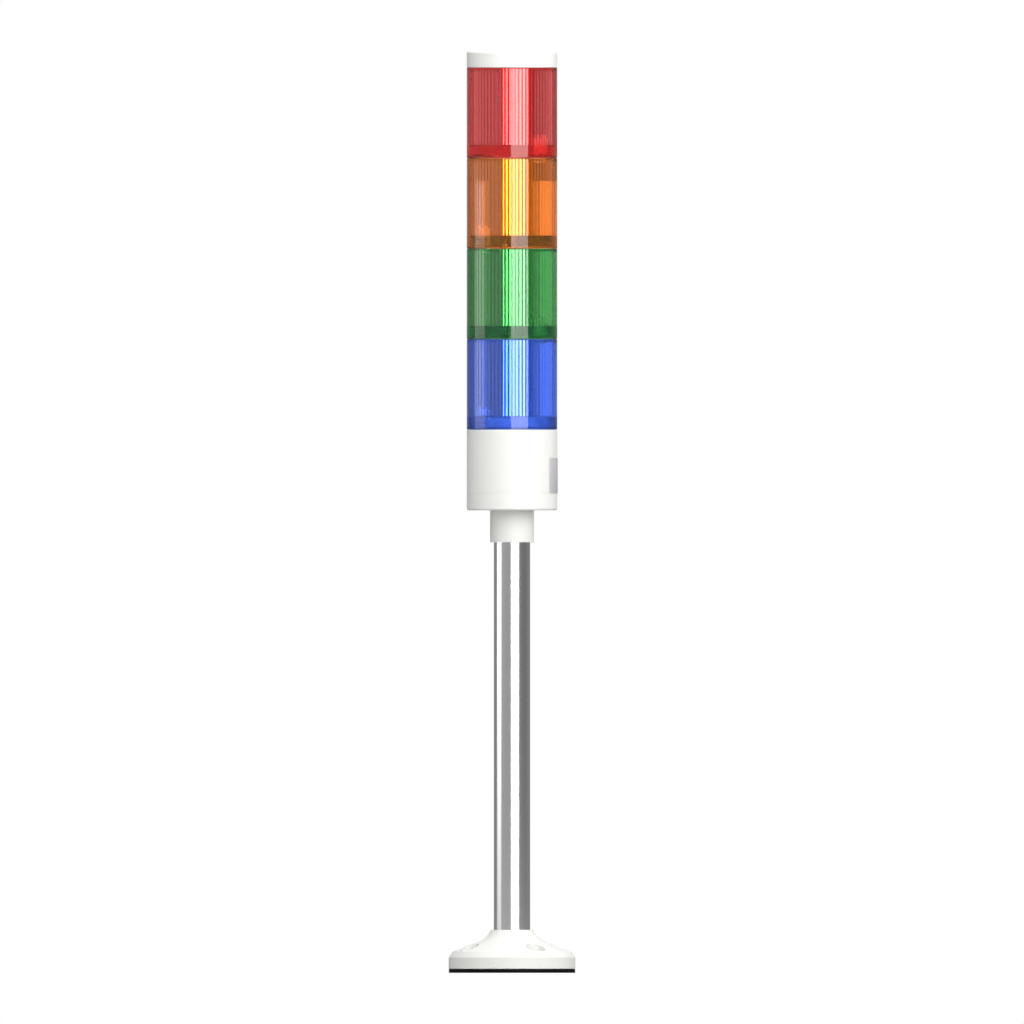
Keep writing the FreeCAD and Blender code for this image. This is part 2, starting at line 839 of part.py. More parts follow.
control_disc = cylinder(
    "control_disc", "Sizes.control_board_diameter / 2", "Sizes.board_thickness", "Levels.control_board_foot"
)
control_screw_holes = on_circle(
    "control_screw_hole",
    "board_post_circle",
    "board_post_count",
    "Sizes.board_post_turn",
    lambda name, x, y: cylinder(
        name,
        "Sizes.board_screw_diameter / 2 + Sizes.thread_fit",
        "Sizes.board_thickness",
        "Levels.control_board_foot",
        x,
        y,
    ),
)
node("control_board", cut("control_board_form", control_disc, control_screw_holes))


def board_screw(name, x, y):
    """A screw that holds the control board down on a post."""
    head = cylinder(
        f"{name}_head",
        "Sizes.board_screw_head / 2",
        "Sizes.board_screw_head_height",
        "Levels.control_board_top",
        x,
        y,
    )
    shank = cylinder(
        f"{name}_shank",
        "Sizes.board_screw_diameter / 2",
        "Sizes.board_screw_length - 2 * Sizes.thread_fit",
        "Levels.control_board_top - Sizes.board_screw_length + 2 * Sizes.thread_fit",
        x,
        y,
    )
    return fuse(name, [head, shank])


board_screws = on_circle(
    "board_screw", "board_post_circle", "board_post_count", "Sizes.board_post_turn", board_screw
)
node("control_board_screws", group("board_screw_set", board_screws))

terminal_body = box(
    "terminal_body",
    "Sizes.terminal_width",
    "Sizes.terminal_depth",
    "Sizes.terminal_height",
    "-Sizes.terminal_width / 2",
    "-Sizes.terminal_setback",
    "Levels.control_board_top",
)
terminal_wells = [
    cylinder(
        f"terminal_well_{index + 1}",
        "Sizes.terminal_screw_hole / 2",
        "Sizes.terminal_height / 2",
        "Levels.control_board_top + Sizes.terminal_height / 2",
        f"Sizes.terminal_width * ({index} + 0.5) / Sizes.terminal_poles - Sizes.terminal_width / 2",
        "-Sizes.terminal_setback + Sizes.terminal_depth / 2",
    )
    for index in range(int(size("terminal_poles")))
]
node("terminal_block", cut("terminal_form", terminal_body, terminal_wells))

# ---------------------------------------------------------------------------
# Forms shared by the tiers, drawn with the twist joint below them at height 0
# ---------------------------------------------------------------------------


def ribbed_core():
    """The star-shaped space inside a tier: its points are the grooves between the wall's ribs."""
    count = int(size("rib_count"))
    groove = level("rib_root_radius")
    tip = groove - size("rib_depth")
    corners = []
    for index in range(2 * count):
        radius = groove if index % 2 else tip
        angle = math.pi * index / count
        corners.append(Vector(radius * math.cos(angle), radius * math.sin(angle), level("skirt_top")))
    star = Part.Face(Part.makePolygon(corners + corners[:1]))
    return star.extrude(Vector(0, 0, level("shelf_foot") - level("skirt_top")))


lens_wall = turned(
    "lens_wall",
    neck_corners("Sizes.tier_pitch")
    + [
        ("Levels.rib_root_radius - Sizes.rib_depth - Sizes.lug_root", "Levels.shelf_foot"),
        ("Levels.rib_root_radius - Sizes.rib_depth - Sizes.lug_root", "Levels.skirt_top"),
    ]
    + skirt_corners()
    + [
        ("Levels.head_radius", "Sizes.tier_pitch - Sizes.edge_chamfer"),
        ("Levels.head_radius - Sizes.edge_chamfer", "Sizes.tier_pitch"),
    ],
)
lens_core = doc.addObject("Part::Feature", "lens_core")
lens_core.Shape = ribbed_core()
lens_ribbed = cut("lens_ribbed", lens_wall, [lens_core])


def gusset(name, turn):
    """A small web in the corner between a tier's wall and its shelf."""
    web = box(
        name,
        "Levels.rib_root_radius + Sizes.lug_root - Levels.shelf_radius",
        "Sizes.gusset_width",
        "Sizes.gusset_height",
        f"Levels.shelf_radius * cos({turn}) + Sizes.gusset_width / 2 * sin({turn})",
        f"Levels.shelf_radius * sin({turn}) - Sizes.gusset_width / 2 * cos({turn})",
        "Sizes.tier_pitch - Sizes.gusset_height",
    )
    web.Placement.Rotation = Rotation(Vector(0, 0, 1), 0)
    web.setExpression("Placement.Rotation.Angle", turn)
    return web


gussets = []
for index in range(int(size("lug_count"))):
    for side in (-1, 1):
        turn = f"{LUG_TURN} + {index} * 360 / Sizes.lug_count + {side} * Sizes.gusset_spread"
        gussets.append(gusset(f"gusset_{len(gussets) + 1}", turn))

lens_form = fuse(
    "lens_form", [lens_ribbed] + neck_lugs("lens", "Sizes.tier_pitch") + skirt_tabs("lens") + gussets
)

seal_form = turned(
    "seal_form",
    [
        ("Levels.neck_radius + Sizes.seal_inner_gap", "0"),
        ("Levels.lip_radius - Sizes.run_clearance", "0"),
        ("Levels.lip_radius - Sizes.run_clearance", "Sizes.seal_height - Sizes.seal_chamfer"),
        ("Levels.lip_radius - Sizes.run_clearance - Sizes.seal_chamfer", "Sizes.seal_height"),
        ("Levels.neck_radius + Sizes.seal_inner_gap", "Sizes.seal_height"),
    ],
)

board_disc = cylinder("board_disc", "Levels.board_radius", "Sizes.board_thickness")
STEM_WIDTH = "Sizes.column_width - 2 * Sizes.column_stem_step"
STEM_DEPTH = "Sizes.column_depth - 2 * Sizes.column_stem_step"
board_slot = box(
    "board_slot",
    f"{STEM_WIDTH} + 2 * Sizes.column_slot_fit",
    f"{STEM_DEPTH} + 2 * Sizes.column_slot_fit",
    "Sizes.board_thickness",
    f"Sizes.column_offset - ({STEM_WIDTH}) / 2 - Sizes.column_slot_fit",
    f"-({STEM_DEPTH}) / 2 - Sizes.column_slot_fit",
    "0",
)
board_form = cut("board_form", board_disc, [board_slot])


def light_chip(name, x, y):
    """One light-emitting diode on the board."""
    return box(
        name,
        "Sizes.chip_size",
        "Sizes.chip_size",
        "Sizes.chip_height",
        f"{x} - Sizes.chip_size / 2",
        f"{y} - Sizes.chip_size / 2",
        "Sizes.board_thickness",
    )


chip_form = group(
    "chip_form", on_circle("chip", "chip_circle", "chip_count", "180 / Sizes.chip_count", light_chip)
)

column_block = box(
    "column_block",
    "Sizes.column_width",
    "Sizes.column_depth",
    "Sizes.column_height - Sizes.board_thickness",
    "Sizes.column_offset - Sizes.column_width / 2",
    "-Sizes.column_depth / 2",
    "Sizes.board_thickness",
)
column_stem = box(
    "column_stem",
    STEM_WIDTH,
    STEM_DEPTH,
    "Sizes.board_thickness + Sizes.column_stem_drop",
    f"Sizes.column_offset - ({STEM_WIDTH}) / 2",
    f"-({STEM_DEPTH}) / 2",
    "-Sizes.column_stem_drop",
)
column_prongs = [
    box(
        f"column_prong_{index + 1}",
        "Sizes.column_prong_width",
        "Sizes.column_depth",
        "Sizes.column_prong_height",
        f"Sizes.column_offset + ({side} * Sizes.column_prong_spacing - Sizes.column_prong_width) / 2",
        "-Sizes.column_depth / 2",
        "Sizes.column_height",
    )
    for index, side in enumerate((-1, 1))
]
column_form = fuse("column_form", [column_block, column_stem] + column_prongs)

post_form = cylinder(
    "post_form",
    "Sizes.post_diameter / 2",
    "Sizes.tier_pitch - Sizes.board_thickness - Sizes.post_end_gap",
    "Sizes.board_thickness",
)
socket_form = cut(
    "socket_form",
    cylinder(
        "socket_outside",
        "Sizes.post_diameter / 2 + Sizes.run_clearance + Sizes.socket_wall",
        "Sizes.socket_depth",
        "-Sizes.socket_depth",
    ),
    [
        cylinder(
            "socket_inside",
            "Sizes.post_diameter / 2 + Sizes.run_clearance",
            "Sizes.socket_depth",
            "-Sizes.socket_depth",
        )
    ],
)

# ---------------------------------------------------------------------------
# The four tiers, from the lowest up
# ---------------------------------------------------------------------------

TIERS = ["blue", "green", "orange", "red"]

for index, colour in enumerate(TIERS):
    joint = f"Levels.joint_{index}"
    half_turn = 180 if index % 2 == 0 else 0
    node(f"tier_seal_{colour}", seal_form, joint)
    node(f"light_board_{colour}", board_form, joint, half_turn)
    node(f"light_chips_{colour}", chip_form, joint, half_turn)
    node(f"plug_column_{colour}", column_form, joint, half_turn)
    node(f"post_socket_{colour}", socket_form, joint)
    node(f"lens_{colour}", lens_form, joint)
    if index < len(TIERS) - 1:
        node(f"contact_post_{colour}", post_form, joint)

supply_post = cylinder(
    "supply_post",
    "Sizes.post_diameter / 2",
    "Levels.joint_0 - Sizes.post_end_gap - Levels.control_board_top",
    "Levels.control_board_top",
)
node("contact_post_supply", supply_post)

# ---------------------------------------------------------------------------
# Cap
# ---------------------------------------------------------------------------

node("tier_seal_cap", seal_form, "Levels.joint_4")

cap_wall = turned(
    "cap_wall",
    skirt_corners()
    + [
        ("Levels.head_radius", "Sizes.cap_height - Sizes.cap_edge_round", "Sizes.cap_edge_round"),
        ("Levels.head_radius - Sizes.cap_edge_round", "Sizes.cap_height"),
        ("0", "Sizes.cap_height"),
        ("0", "Levels.skirt_top"),
    ],
)
node("top_cap", fuse("cap_form", [cap_wall] + skirt_tabs("cap")), "Levels.joint_4")

# ---------------------------------------------------------------------------
# Check and write
# ---------------------------------------------------------------------------

doc.recompute()

failed = [made.Name for made in doc.Objects if "Invalid" in made.State or "Error" in made.State]
if failed:
    raise RuntimeError(f"not built: {failed}")
for label, made in subparts.items():
    if made.Shape.isNull() or not made.Shape.isValid():
        raise RuntimeError(f"bad shape: {label}")

os.makedirs("parts", exist_ok=True)
for label, made in subparts.items():
    made.Shape.exportStep(f"parts/{label}.step")
    print(f"{label}: {len(made.Shape.Solids)} solid(s), {made.Shape.Volume:.1f} mm3")
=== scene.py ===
"""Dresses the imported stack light: tinted tiers, white head and flange, polished tube."""
import logging
import math
from collections.abc import Iterable
from dataclasses import dataclass, replace
from enum import Enum

import bpy
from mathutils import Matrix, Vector


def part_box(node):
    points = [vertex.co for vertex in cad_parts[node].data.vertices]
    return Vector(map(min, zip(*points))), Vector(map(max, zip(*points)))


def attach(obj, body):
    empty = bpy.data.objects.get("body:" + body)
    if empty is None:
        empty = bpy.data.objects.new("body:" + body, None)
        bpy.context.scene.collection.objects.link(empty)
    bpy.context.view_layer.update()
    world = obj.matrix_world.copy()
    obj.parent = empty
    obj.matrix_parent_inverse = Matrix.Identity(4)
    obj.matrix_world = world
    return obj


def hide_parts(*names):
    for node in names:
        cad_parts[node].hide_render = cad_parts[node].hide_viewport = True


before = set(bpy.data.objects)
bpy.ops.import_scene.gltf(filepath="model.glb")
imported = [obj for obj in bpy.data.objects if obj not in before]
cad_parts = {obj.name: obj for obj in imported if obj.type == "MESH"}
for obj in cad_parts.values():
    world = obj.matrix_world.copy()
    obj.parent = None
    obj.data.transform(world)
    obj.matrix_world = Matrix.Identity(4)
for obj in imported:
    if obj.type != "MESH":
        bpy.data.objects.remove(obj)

Piece = bpy.types.Object
Material = bpy.types.Material
Tree = bpy.types.NodeTree
Node = bpy.types.Node
Socket = bpy.types.NodeSocket
Points = list[tuple[float, float]]
Colour = tuple[float, float, float]

LOG = logging.getLogger("stack_light")
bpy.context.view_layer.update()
MM = 0.001
TURN = 2 * math.pi
# How close to its stated place a vertex is, to be taken as there.
NEAR = 0.01 * MM
# Faces within this distance of a wall's radius count as that wall's own.
MARGIN = 0.2 * MM
# Half of this, at most, lies between a rounded corner and each ring that holds it.
HOLDING = 0.4 * MM
# How many degrees each face of a lug, tab or label spans.
RING_FACE = 3.0


# ---------------------------------------------------------------------------
# Working with Blender's operators
# ---------------------------------------------------------------------------


class Part(Enum):
    """What is selected on a mesh."""

    VERTICES = "VERT"
    FACES = "FACE"


def deselect_all() -> None:
    """Leaves nothing selected, in object mode."""
    if bpy.context.object and bpy.context.object.mode != "OBJECT":
        bpy.ops.object.mode_set(mode="OBJECT")
    bpy.ops.object.select_all(action="DESELECT")


def activate(piece: Piece) -> None:
    """Makes one piece the only selected and active object.

    Args:
        piece: The object to work on.
    """
    deselect_all()
    piece.select_set(True)
    bpy.context.view_layer.objects.active = piece


def settle(piece: Piece) -> None:
    """Puts a piece's place, turn and scale into its mesh."""
    activate(piece)
    bpy.ops.object.transform_apply(location=True, rotation=True, scale=True)


def clear_selection(piece: Piece, part: Part) -> None:
    """Makes a piece active with nothing on its mesh selected, and leaves it in object mode.

    Args:
        piece: The object to work on.
        part: What is selected next.
    """
    activate(piece)
    bpy.ops.object.mode_set(mode="EDIT")
    bpy.ops.mesh.select_mode(type=part.value)
    bpy.ops.mesh.select_all(action="DESELECT")
    bpy.ops.object.mode_set(mode="OBJECT")


def clean_mesh(piece: Piece, merge: float = 1e-6) -> None:
    """Merges doubles and turns every face outwards.

    Args:
        piece: The object to clean.
        merge: Distance under which two vertices are one, in metres.
    """
    activate(piece)
    bpy.ops.object.mode_set(mode="EDIT")
    bpy.ops.mesh.select_all(action="SELECT")
    bpy.ops.mesh.remove_doubles(threshold=merge)
    bpy.ops.mesh.normals_make_consistent(inside=False)
    bpy.ops.object.mode_set(mode="OBJECT")


def smooth(piece: Piece, degrees: float = 30.0) -> None:
    """Shades a piece smooth, with creases kept where faces meet at more than the angle."""
    activate(piece)
    bpy.ops.object.shade_smooth_by_angle(angle=math.radians(degrees))


def apply_modifier(piece: Piece, kind: str, **settings: object) -> None:
    """Adds a modifier, sets it up and applies it.

    Args:
        piece: The object that gets it.
        kind: The modifier's type name.
        settings: Its properties.
    """
    modifier = piece.modifiers.new(kind.lower(), kind)
    for name, value in settings.items():
        setattr(modifier, name, value)
    activate(piece)
    bpy.ops.object.modifier_apply(modifier=modifier.name)


def copy_piece(piece: Piece, name: str) -> Piece:
    """A copy of a piece with its own mesh.

    Args:
        piece: The object to copy.
        name: The copy's name.

    Returns:
        The copy.
    """
    copied = piece.copy()
    copied.data = piece.data.copy()
    copied.name = copied.data.name = name
    bpy.context.scene.collection.objects.link(copied)
    return copied


def lift(piece: Piece, height: float) -> None:
    """Lifts a piece by a height in metres, in its mesh."""
    piece.location.z = height
    settle(piece)


def join(pieces: list[Piece]) -> Piece:
    """Joins pieces into the first of them.

    Args:
        pieces: The objects, the one that stays first.

    Returns:
        The first object, which now holds them all.
    """
    activate(pieces[0])
    for piece in pieces[1:]:
        piece.select_set(True)
    bpy.ops.object.join()
    return pieces[0]


# ---------------------------------------------------------------------------
# Turned forms
# ---------------------------------------------------------------------------


@dataclass(frozen=True)
class Corner:
    """A corner of a turned outline: its radius and height, and how far it is rounded off."""

    radius: float
    height: float
    round: float = 0.0


def corner_points(before: Corner, corner: Corner, after: Corner, steps: int) -> Points:
    """The points of one corner: an arc tangent to both sides, held by a ring just before and after.

    Args:
        before: The corner before it.
        corner: The corner itself.
        after: The corner after it.
        steps: How many stretches the arc has.

    Returns:
        The points as (radius, height).
    """
    here = Vector((corner.radius, corner.height))
    if not corner.round:
        return [(here.x, here.y)]
    to_before = Vector((before.radius, before.height)) - here
    to_after = Vector((after.radius, after.height)) - here
    back, on = to_before.normalized(), to_after.normalized()
    span = to_before.angle(to_after)
    reach = corner.round / math.tan(span / 2)
    start = here + back * reach
    end = here + on * reach
    middle = here + (back + on).normalized() * (corner.round / math.sin(span / 2))
    hold = min(HOLDING, to_before.length - reach, to_after.length - reach) / 2
    points = [tuple(start + back * hold)]
    for step in range(steps + 1):
        ray = (start - middle).lerp(end - middle, step / steps)
        points.append(tuple(middle + ray.normalized() * corner.round))
    points.append(tuple(end + on * hold))
    return points


def outline_points(corners: list[Corner], steps: int = 3) -> Points:
    """The points of a closed outline with its corners rounded.

    Args:
        corners: The outline's corners in order.
        steps: How many stretches each rounded corner has.

    Returns:
        The points as (radius, height), without the first one repeated.
    """
    points: Points = []
    for index, corner in enumerate(corners):
        after = corners[(index + 1) % len(corners)]
        points.extend(corner_points(corners[index - 1], corner, after, steps))
    return points


def arc_points(centre: Vector, radius: float, start: float, end: float, steps: int) -> Points:
    """Points along an arc of an outline.

    Args:
        centre: The arc's centre as (radius, height).
        radius: Its radius.
        start: Its first angle in degrees, from outwards towards up.
        end: Its last angle in degrees.
        steps: How many stretches it has.

    Returns:
        The points as (radius, height).
    """
    points = []
    for step in range(steps + 1):
        angle = math.radians(start + (end - start) * step / steps)
        points.append((centre.x + radius * math.cos(angle), centre.y + radius * math.sin(angle)))
    return points


def turned(name: str, points: Points, sides: int) -> Piece:
    """A form turned about the tube's axis, extruded ring by ring.

    Args:
        name: The piece's name.
        points: The closed outline as (radius, height) in metres.
        sides: How many faces go round.

    Returns:
        The new object.
    """
    deselect_all()
    radius, height = points[0]
    bpy.ops.mesh.primitive_circle_add(vertices=sides, radius=radius, location=(0, 0, height))
    piece = bpy.context.object
    piece.name = piece.data.name = name
    settle(piece)
    bpy.ops.object.mode_set(mode="EDIT")
    bpy.ops.mesh.select_mode(type="VERT")
    bpy.ops.mesh.select_all(action="SELECT")
    for next_radius, next_height in points[1:] + points[:1]:
        bpy.ops.mesh.extrude_edges_move(
            TRANSFORM_OT_translate={"value": (0, 0, next_height - height)}
        )
        grow = next_radius / radius
        bpy.ops.transform.resize(value=(grow, grow, 1), center_override=(0, 0, next_height))
        radius, height = next_radius, next_height
    bpy.ops.object.mode_set(mode="OBJECT")
    clean_mesh(piece)
    return piece


def ring_piece(
    name: str, inner: float, outer: float, foot: float, height: float, centre: float, width: float
) -> Piece:
    """A block that follows a stretch of a ring: a lug, a tab or a label.

    Args:
        name: The piece's name.
        inner: Inner radius in metres.
        outer: Outer radius in metres.
        foot: Height of its underside.
        height: How tall it is.
        centre: The angle of its middle, in degrees from +X.
        width: How many degrees it spans.

    Returns:
        The new object.
    """
    deselect_all()
    place = ((inner + outer) / 2, 0, foot + height / 2)
    bpy.ops.mesh.primitive_plane_add(size=1, location=place, rotation=(math.pi / 2, 0, 0))
    piece = bpy.context.object
    piece.name = piece.data.name = name
    piece.scale = (outer - inner, height, 1)
    settle(piece)
    bpy.ops.object.mode_set(mode="EDIT")
    bpy.ops.mesh.select_all(action="SELECT")
    bpy.ops.mesh.spin(
        steps=round(width / RING_FACE), angle=-math.radians(width), center=(0, 0, 0), axis=(0, 0, 1)
    )
    bpy.ops.object.mode_set(mode="OBJECT")
    piece.rotation_euler.z = math.radians(centre - width / 2)
    settle(piece)
    clean_mesh(piece)
    return piece


# ---------------------------------------------------------------------------
# Sizes that the units share
# ---------------------------------------------------------------------------

# Height of the joint under the lowest tier, and the distance from each joint to the next.
FIRST_JOINT = 360.2 * MM
PITCH = 60.0 * MM
RIBS = 72
# The part of a tier that shows its ribs: its foot above the joint, and its height.
WINDOW_FOOT = 9.0 * MM
WINDOW_HEIGHT = 49.2 * MM


@dataclass(frozen=True)
class TwistJoint:
    """Sizes of the neck and skirt where one unit turns on the next, measured from the joint."""

    wall_radius: float = 30.0 * MM
    wall_round: float = 0.45 * MM
    gap: float = 0.1 * MM
    lip_radius: float = 29.3 * MM
    skirt_radius: float = 28.4 * MM
    rebate_roof: float = 1.75 * MM
    skirt_top: float = 8.95 * MM
    skirt_round: float = 0.12 * MM
    neck_radius: float = 27.2 * MM
    neck_inside: float = 25.6 * MM
    neck_height: float = 8.65 * MM
    neck_round: float = 1.3 * MM
    shelf_radius: float = 23.6 * MM
    shelf_thickness: float = 1.8 * MM
    shelf_round: float = 0.2 * MM
    lug_turn: float = -139.0
    lug_width: float = 24.0
    lug_height: float = 1.6 * MM
    tab_foot: float = 3.4 * MM
    lug_foot: float = 5.3 * MM
    clearance: float = 0.3 * MM

    def neck(self, foot: float) -> list[Corner]:
        """The neck's outline from its outer foot to the underside of the shelf.

        Args:
            foot: Height of the shoulder that the neck stands on.

        Returns:
            The corners in order.
        """
        top = foot + self.neck_height
        return [
            Corner(self.neck_radius, foot, self.shelf_round),
            Corner(self.neck_radius, top, self.neck_round),
            Corner(self.neck_inside, top, self.shelf_round),
            Corner(self.neck_inside, foot, self.shelf_round),
            Corner(self.shelf_radius, foot, self.shelf_round),
            Corner(self.shelf_radius, foot - self.shelf_thickness, self.shelf_round),
        ]

    def skirt(self) -> list[Corner]:
        """The skirt's outline from its top inside down to the foot of the outer wall.

        Returns:
            The corners in order.
        """
        return [
            Corner(self.skirt_radius, self.skirt_top, self.skirt_round),
            Corner(self.skirt_radius, self.rebate_roof, self.skirt_round),
            Corner(self.lip_radius, self.rebate_roof, self.skirt_round),
            Corner(self.lip_radius, self.gap, self.skirt_round),
            Corner(self.wall_radius, self.gap, self.wall_round),
        ]

    def pair(self, name: str, inner: float, outer: float, foot: float) -> list[Piece]:
        """Two catches across from each other.

        Args:
            name: What their names start with.
            inner: Inner radius.
            outer: Outer radius.
            foot: Height of their undersides.

        Returns:
            The two pieces.
        """
        return [
            ring_piece(
                f"{name}_{side}",
                inner,
                outer,
                foot,
                self.lug_height,
                self.lug_turn + 180 * side,
                self.lug_width,
            )
            for side in range(2)
        ]

    def tabs(self, name: str) -> list[Piece]:
        """The tabs inside a skirt."""
        inner = self.neck_radius + self.clearance
        return self.pair(f"{name}_tab", inner, self.skirt_radius, self.tab_foot)

    def lugs(self, name: str, foot: float) -> list[Piece]:
        """The lugs outside a neck that stands on the given height."""
        outer = self.skirt_radius - self.clearance
        return self.pair(f"{name}_lug", self.neck_radius, outer, foot + self.lug_foot)


JOINT = TwistJoint()


# ---------------------------------------------------------------------------
# Shader nodes
# ---------------------------------------------------------------------------


def set_inputs(node: Node, **values: object) -> None:
    """Sets a node's own inputs, named by their labels with underscores for the spaces."""
    for label, value in values.items():
        node.inputs[label.replace("_", " ")].default_value = value


def add_node(tree: Tree, kind: str, **values: object) -> Node:
    """Adds a shader node.

    Args:
        tree: The tree that gets it.
        kind: Its type, without ShaderNode in front.
        values: Its own inputs, as set_inputs takes them.

    Returns:
        The node.
    """
    node = tree.nodes.new(f"ShaderNode{kind}")
    set_inputs(node, **values)
    return node


def add_group(tree: Tree, group: Tree, **values: object) -> Node:
    """Places a node group in a tree, with its own values.

    Args:
        tree: The tree that gets it.
        group: The group.
        values: Its own inputs, as set_inputs takes them.

    Returns:
        The group's node.
    """
    node = add_node(tree, "Group")
    node.node_tree = group
    set_inputs(node, **values)
    return node


def calculate(tree: Tree, operation: str, *sources: Socket) -> Socket:
    """A sum on one or two sockets.

    Args:
        tree: The tree that gets the math node.
        operation: The node's operation.
        sources: The sockets that feed it.

    Returns:
        The socket with the result.
    """
    node = add_node(tree, "Math")
    node.operation = operation
    for source, taken in zip(sources, node.inputs):
        tree.links.new(source, taken)
    return node.outputs["Value"]


def wire(tree: Tree, *pairs: tuple[Socket, Socket]) -> None:
    """Links each pair of sockets, from an output to an input."""
    for source, target in pairs:
        tree.links.new(source, target)


def either_shader(tree: Tree, choice: Socket, first: Socket, second: Socket, out: Socket) -> None:
    """Shows one of two shaders.

    Args:
        tree: The tree that gets the mix.
        choice: 0 for the first shader and 1 for the second.
        first: The first shader.
        second: The second shader.
        out: The socket that takes the result.
    """
    either = add_node(tree, "MixShader")
    wire(
        tree,
        (choice, either.inputs["Fac"]),
        (first, either.inputs[1]),
        (second, either.inputs[2]),
        (either.outputs["Shader"], out),
    )


def new_group(name: str, inputs: dict[str, float], outputs: Iterable[str]) -> tuple[Tree, Node, Node]:
    """An empty shader node group with named sockets for numbers.

    Args:
        name: The group's name.
        inputs: Its inputs and their defaults.
        outputs: Its outputs.

    Returns:
        The node tree, the node that gives its inputs and the node that takes its outputs.
    """
    tree = bpy.data.node_groups.new(name, "ShaderNodeTree")
    for label, default in inputs.items():
        made = tree.interface.new_socket(label, in_out="INPUT", socket_type="NodeSocketFloat")
        made.default_value = default
    for label in outputs:
        tree.interface.new_socket(label, in_out="OUTPUT", socket_type="NodeSocketFloat")
    return tree, tree.nodes.new("NodeGroupInput"), tree.nodes.new("NodeGroupOutput")


def moulding_group() -> Tree:
    """The faint unevenness of a moulded or drawn surface, shared by every finish.

    Returns:
        A group that gives a mask of slow tone change and a fine grain height.
    """
    tree, taken, given = new_group(
        "moulding_grain", {"Cloud Scale": 18.0, "Grain Scale": 900.0}, ("Cloud", "Grain")
    )
    place = add_node(tree, "TexCoord")
    for label, detail in (("Cloud", 3.0), ("Grain", 2.0)):
        noise = add_node(tree, "TexNoise", Detail=detail)
        wire(
            tree,
            (place.outputs["Object"], noise.inputs["Vector"]),
            (taken.outputs[f"{label} Scale"], noise.inputs["Scale"]),
            (noise.outputs["Fac"], given.inputs[label]),
        )
    return tree


def sink_marks_group() -> Tree:
    """Faint upright marks on a tier's outer wall, over the ribs behind it.

    Returns:
        A group whose mask varies about a middle share over the ribs, and stays at it elsewhere.
    """
    tree, taken, given = new_group(
        "sink_marks",
        {"Count": float(RIBS), "Joint": FIRST_JOINT, "Pitch": PITCH, "Skirt": JOINT.skirt_top},
        ("Mask",),
    )
    place = add_node(tree, "TexCoord")
    apart = add_node(tree, "SeparateXYZ")
    wire(tree, (place.outputs["Object"], apart.inputs["Vector"]))
    turn = calculate(tree, "ARCTAN2", apart.outputs["Y"], apart.outputs["X"])
    wave = calculate(tree, "COSINE", calculate(tree, "MULTIPLY", turn, taken.outputs["Count"]))
    rise = calculate(tree, "SUBTRACT", apart.outputs["Z"], taken.outputs["Joint"])
    in_tier = calculate(tree, "FLOORED_MODULO", rise, taken.outputs["Pitch"])
    over_ribs = calculate(tree, "GREATER_THAN", in_tier, taken.outputs["Skirt"])
    swing = calculate(tree, "MULTIPLY", wave, over_ribs)
    faintest = 0.3
    mask = add_node(tree, "MapRange", From_Min=-1.0, To_Min=faintest)
    wire(tree, (swing, mask.inputs["Value"]), (mask.outputs["Result"], given.inputs["Mask"]))
    return tree


GRAIN = moulding_group()
SINK_MARKS = sink_marks_group()


# ---------------------------------------------------------------------------
# Finishes
# ---------------------------------------------------------------------------


class Slot(Enum):
    """The record's material slots; the lenses' finishes are named after theirs."""

    WHITE = "white_plastic"
    TUBE = "polished_tube"
    RUBBER = "black_rubber"
    LABEL = "label_film"
    LENS_BLUE = "lens_blue_plastic"
    LENS_GREEN = "lens_green_plastic"
    LENS_ORANGE = "lens_orange_plastic"
    LENS_RED = "lens_red_plastic"


def grey(tone: float) -> Colour:
    """A grey of one tone."""
    return (tone, tone, tone)


CLEAR = grey(0.97)


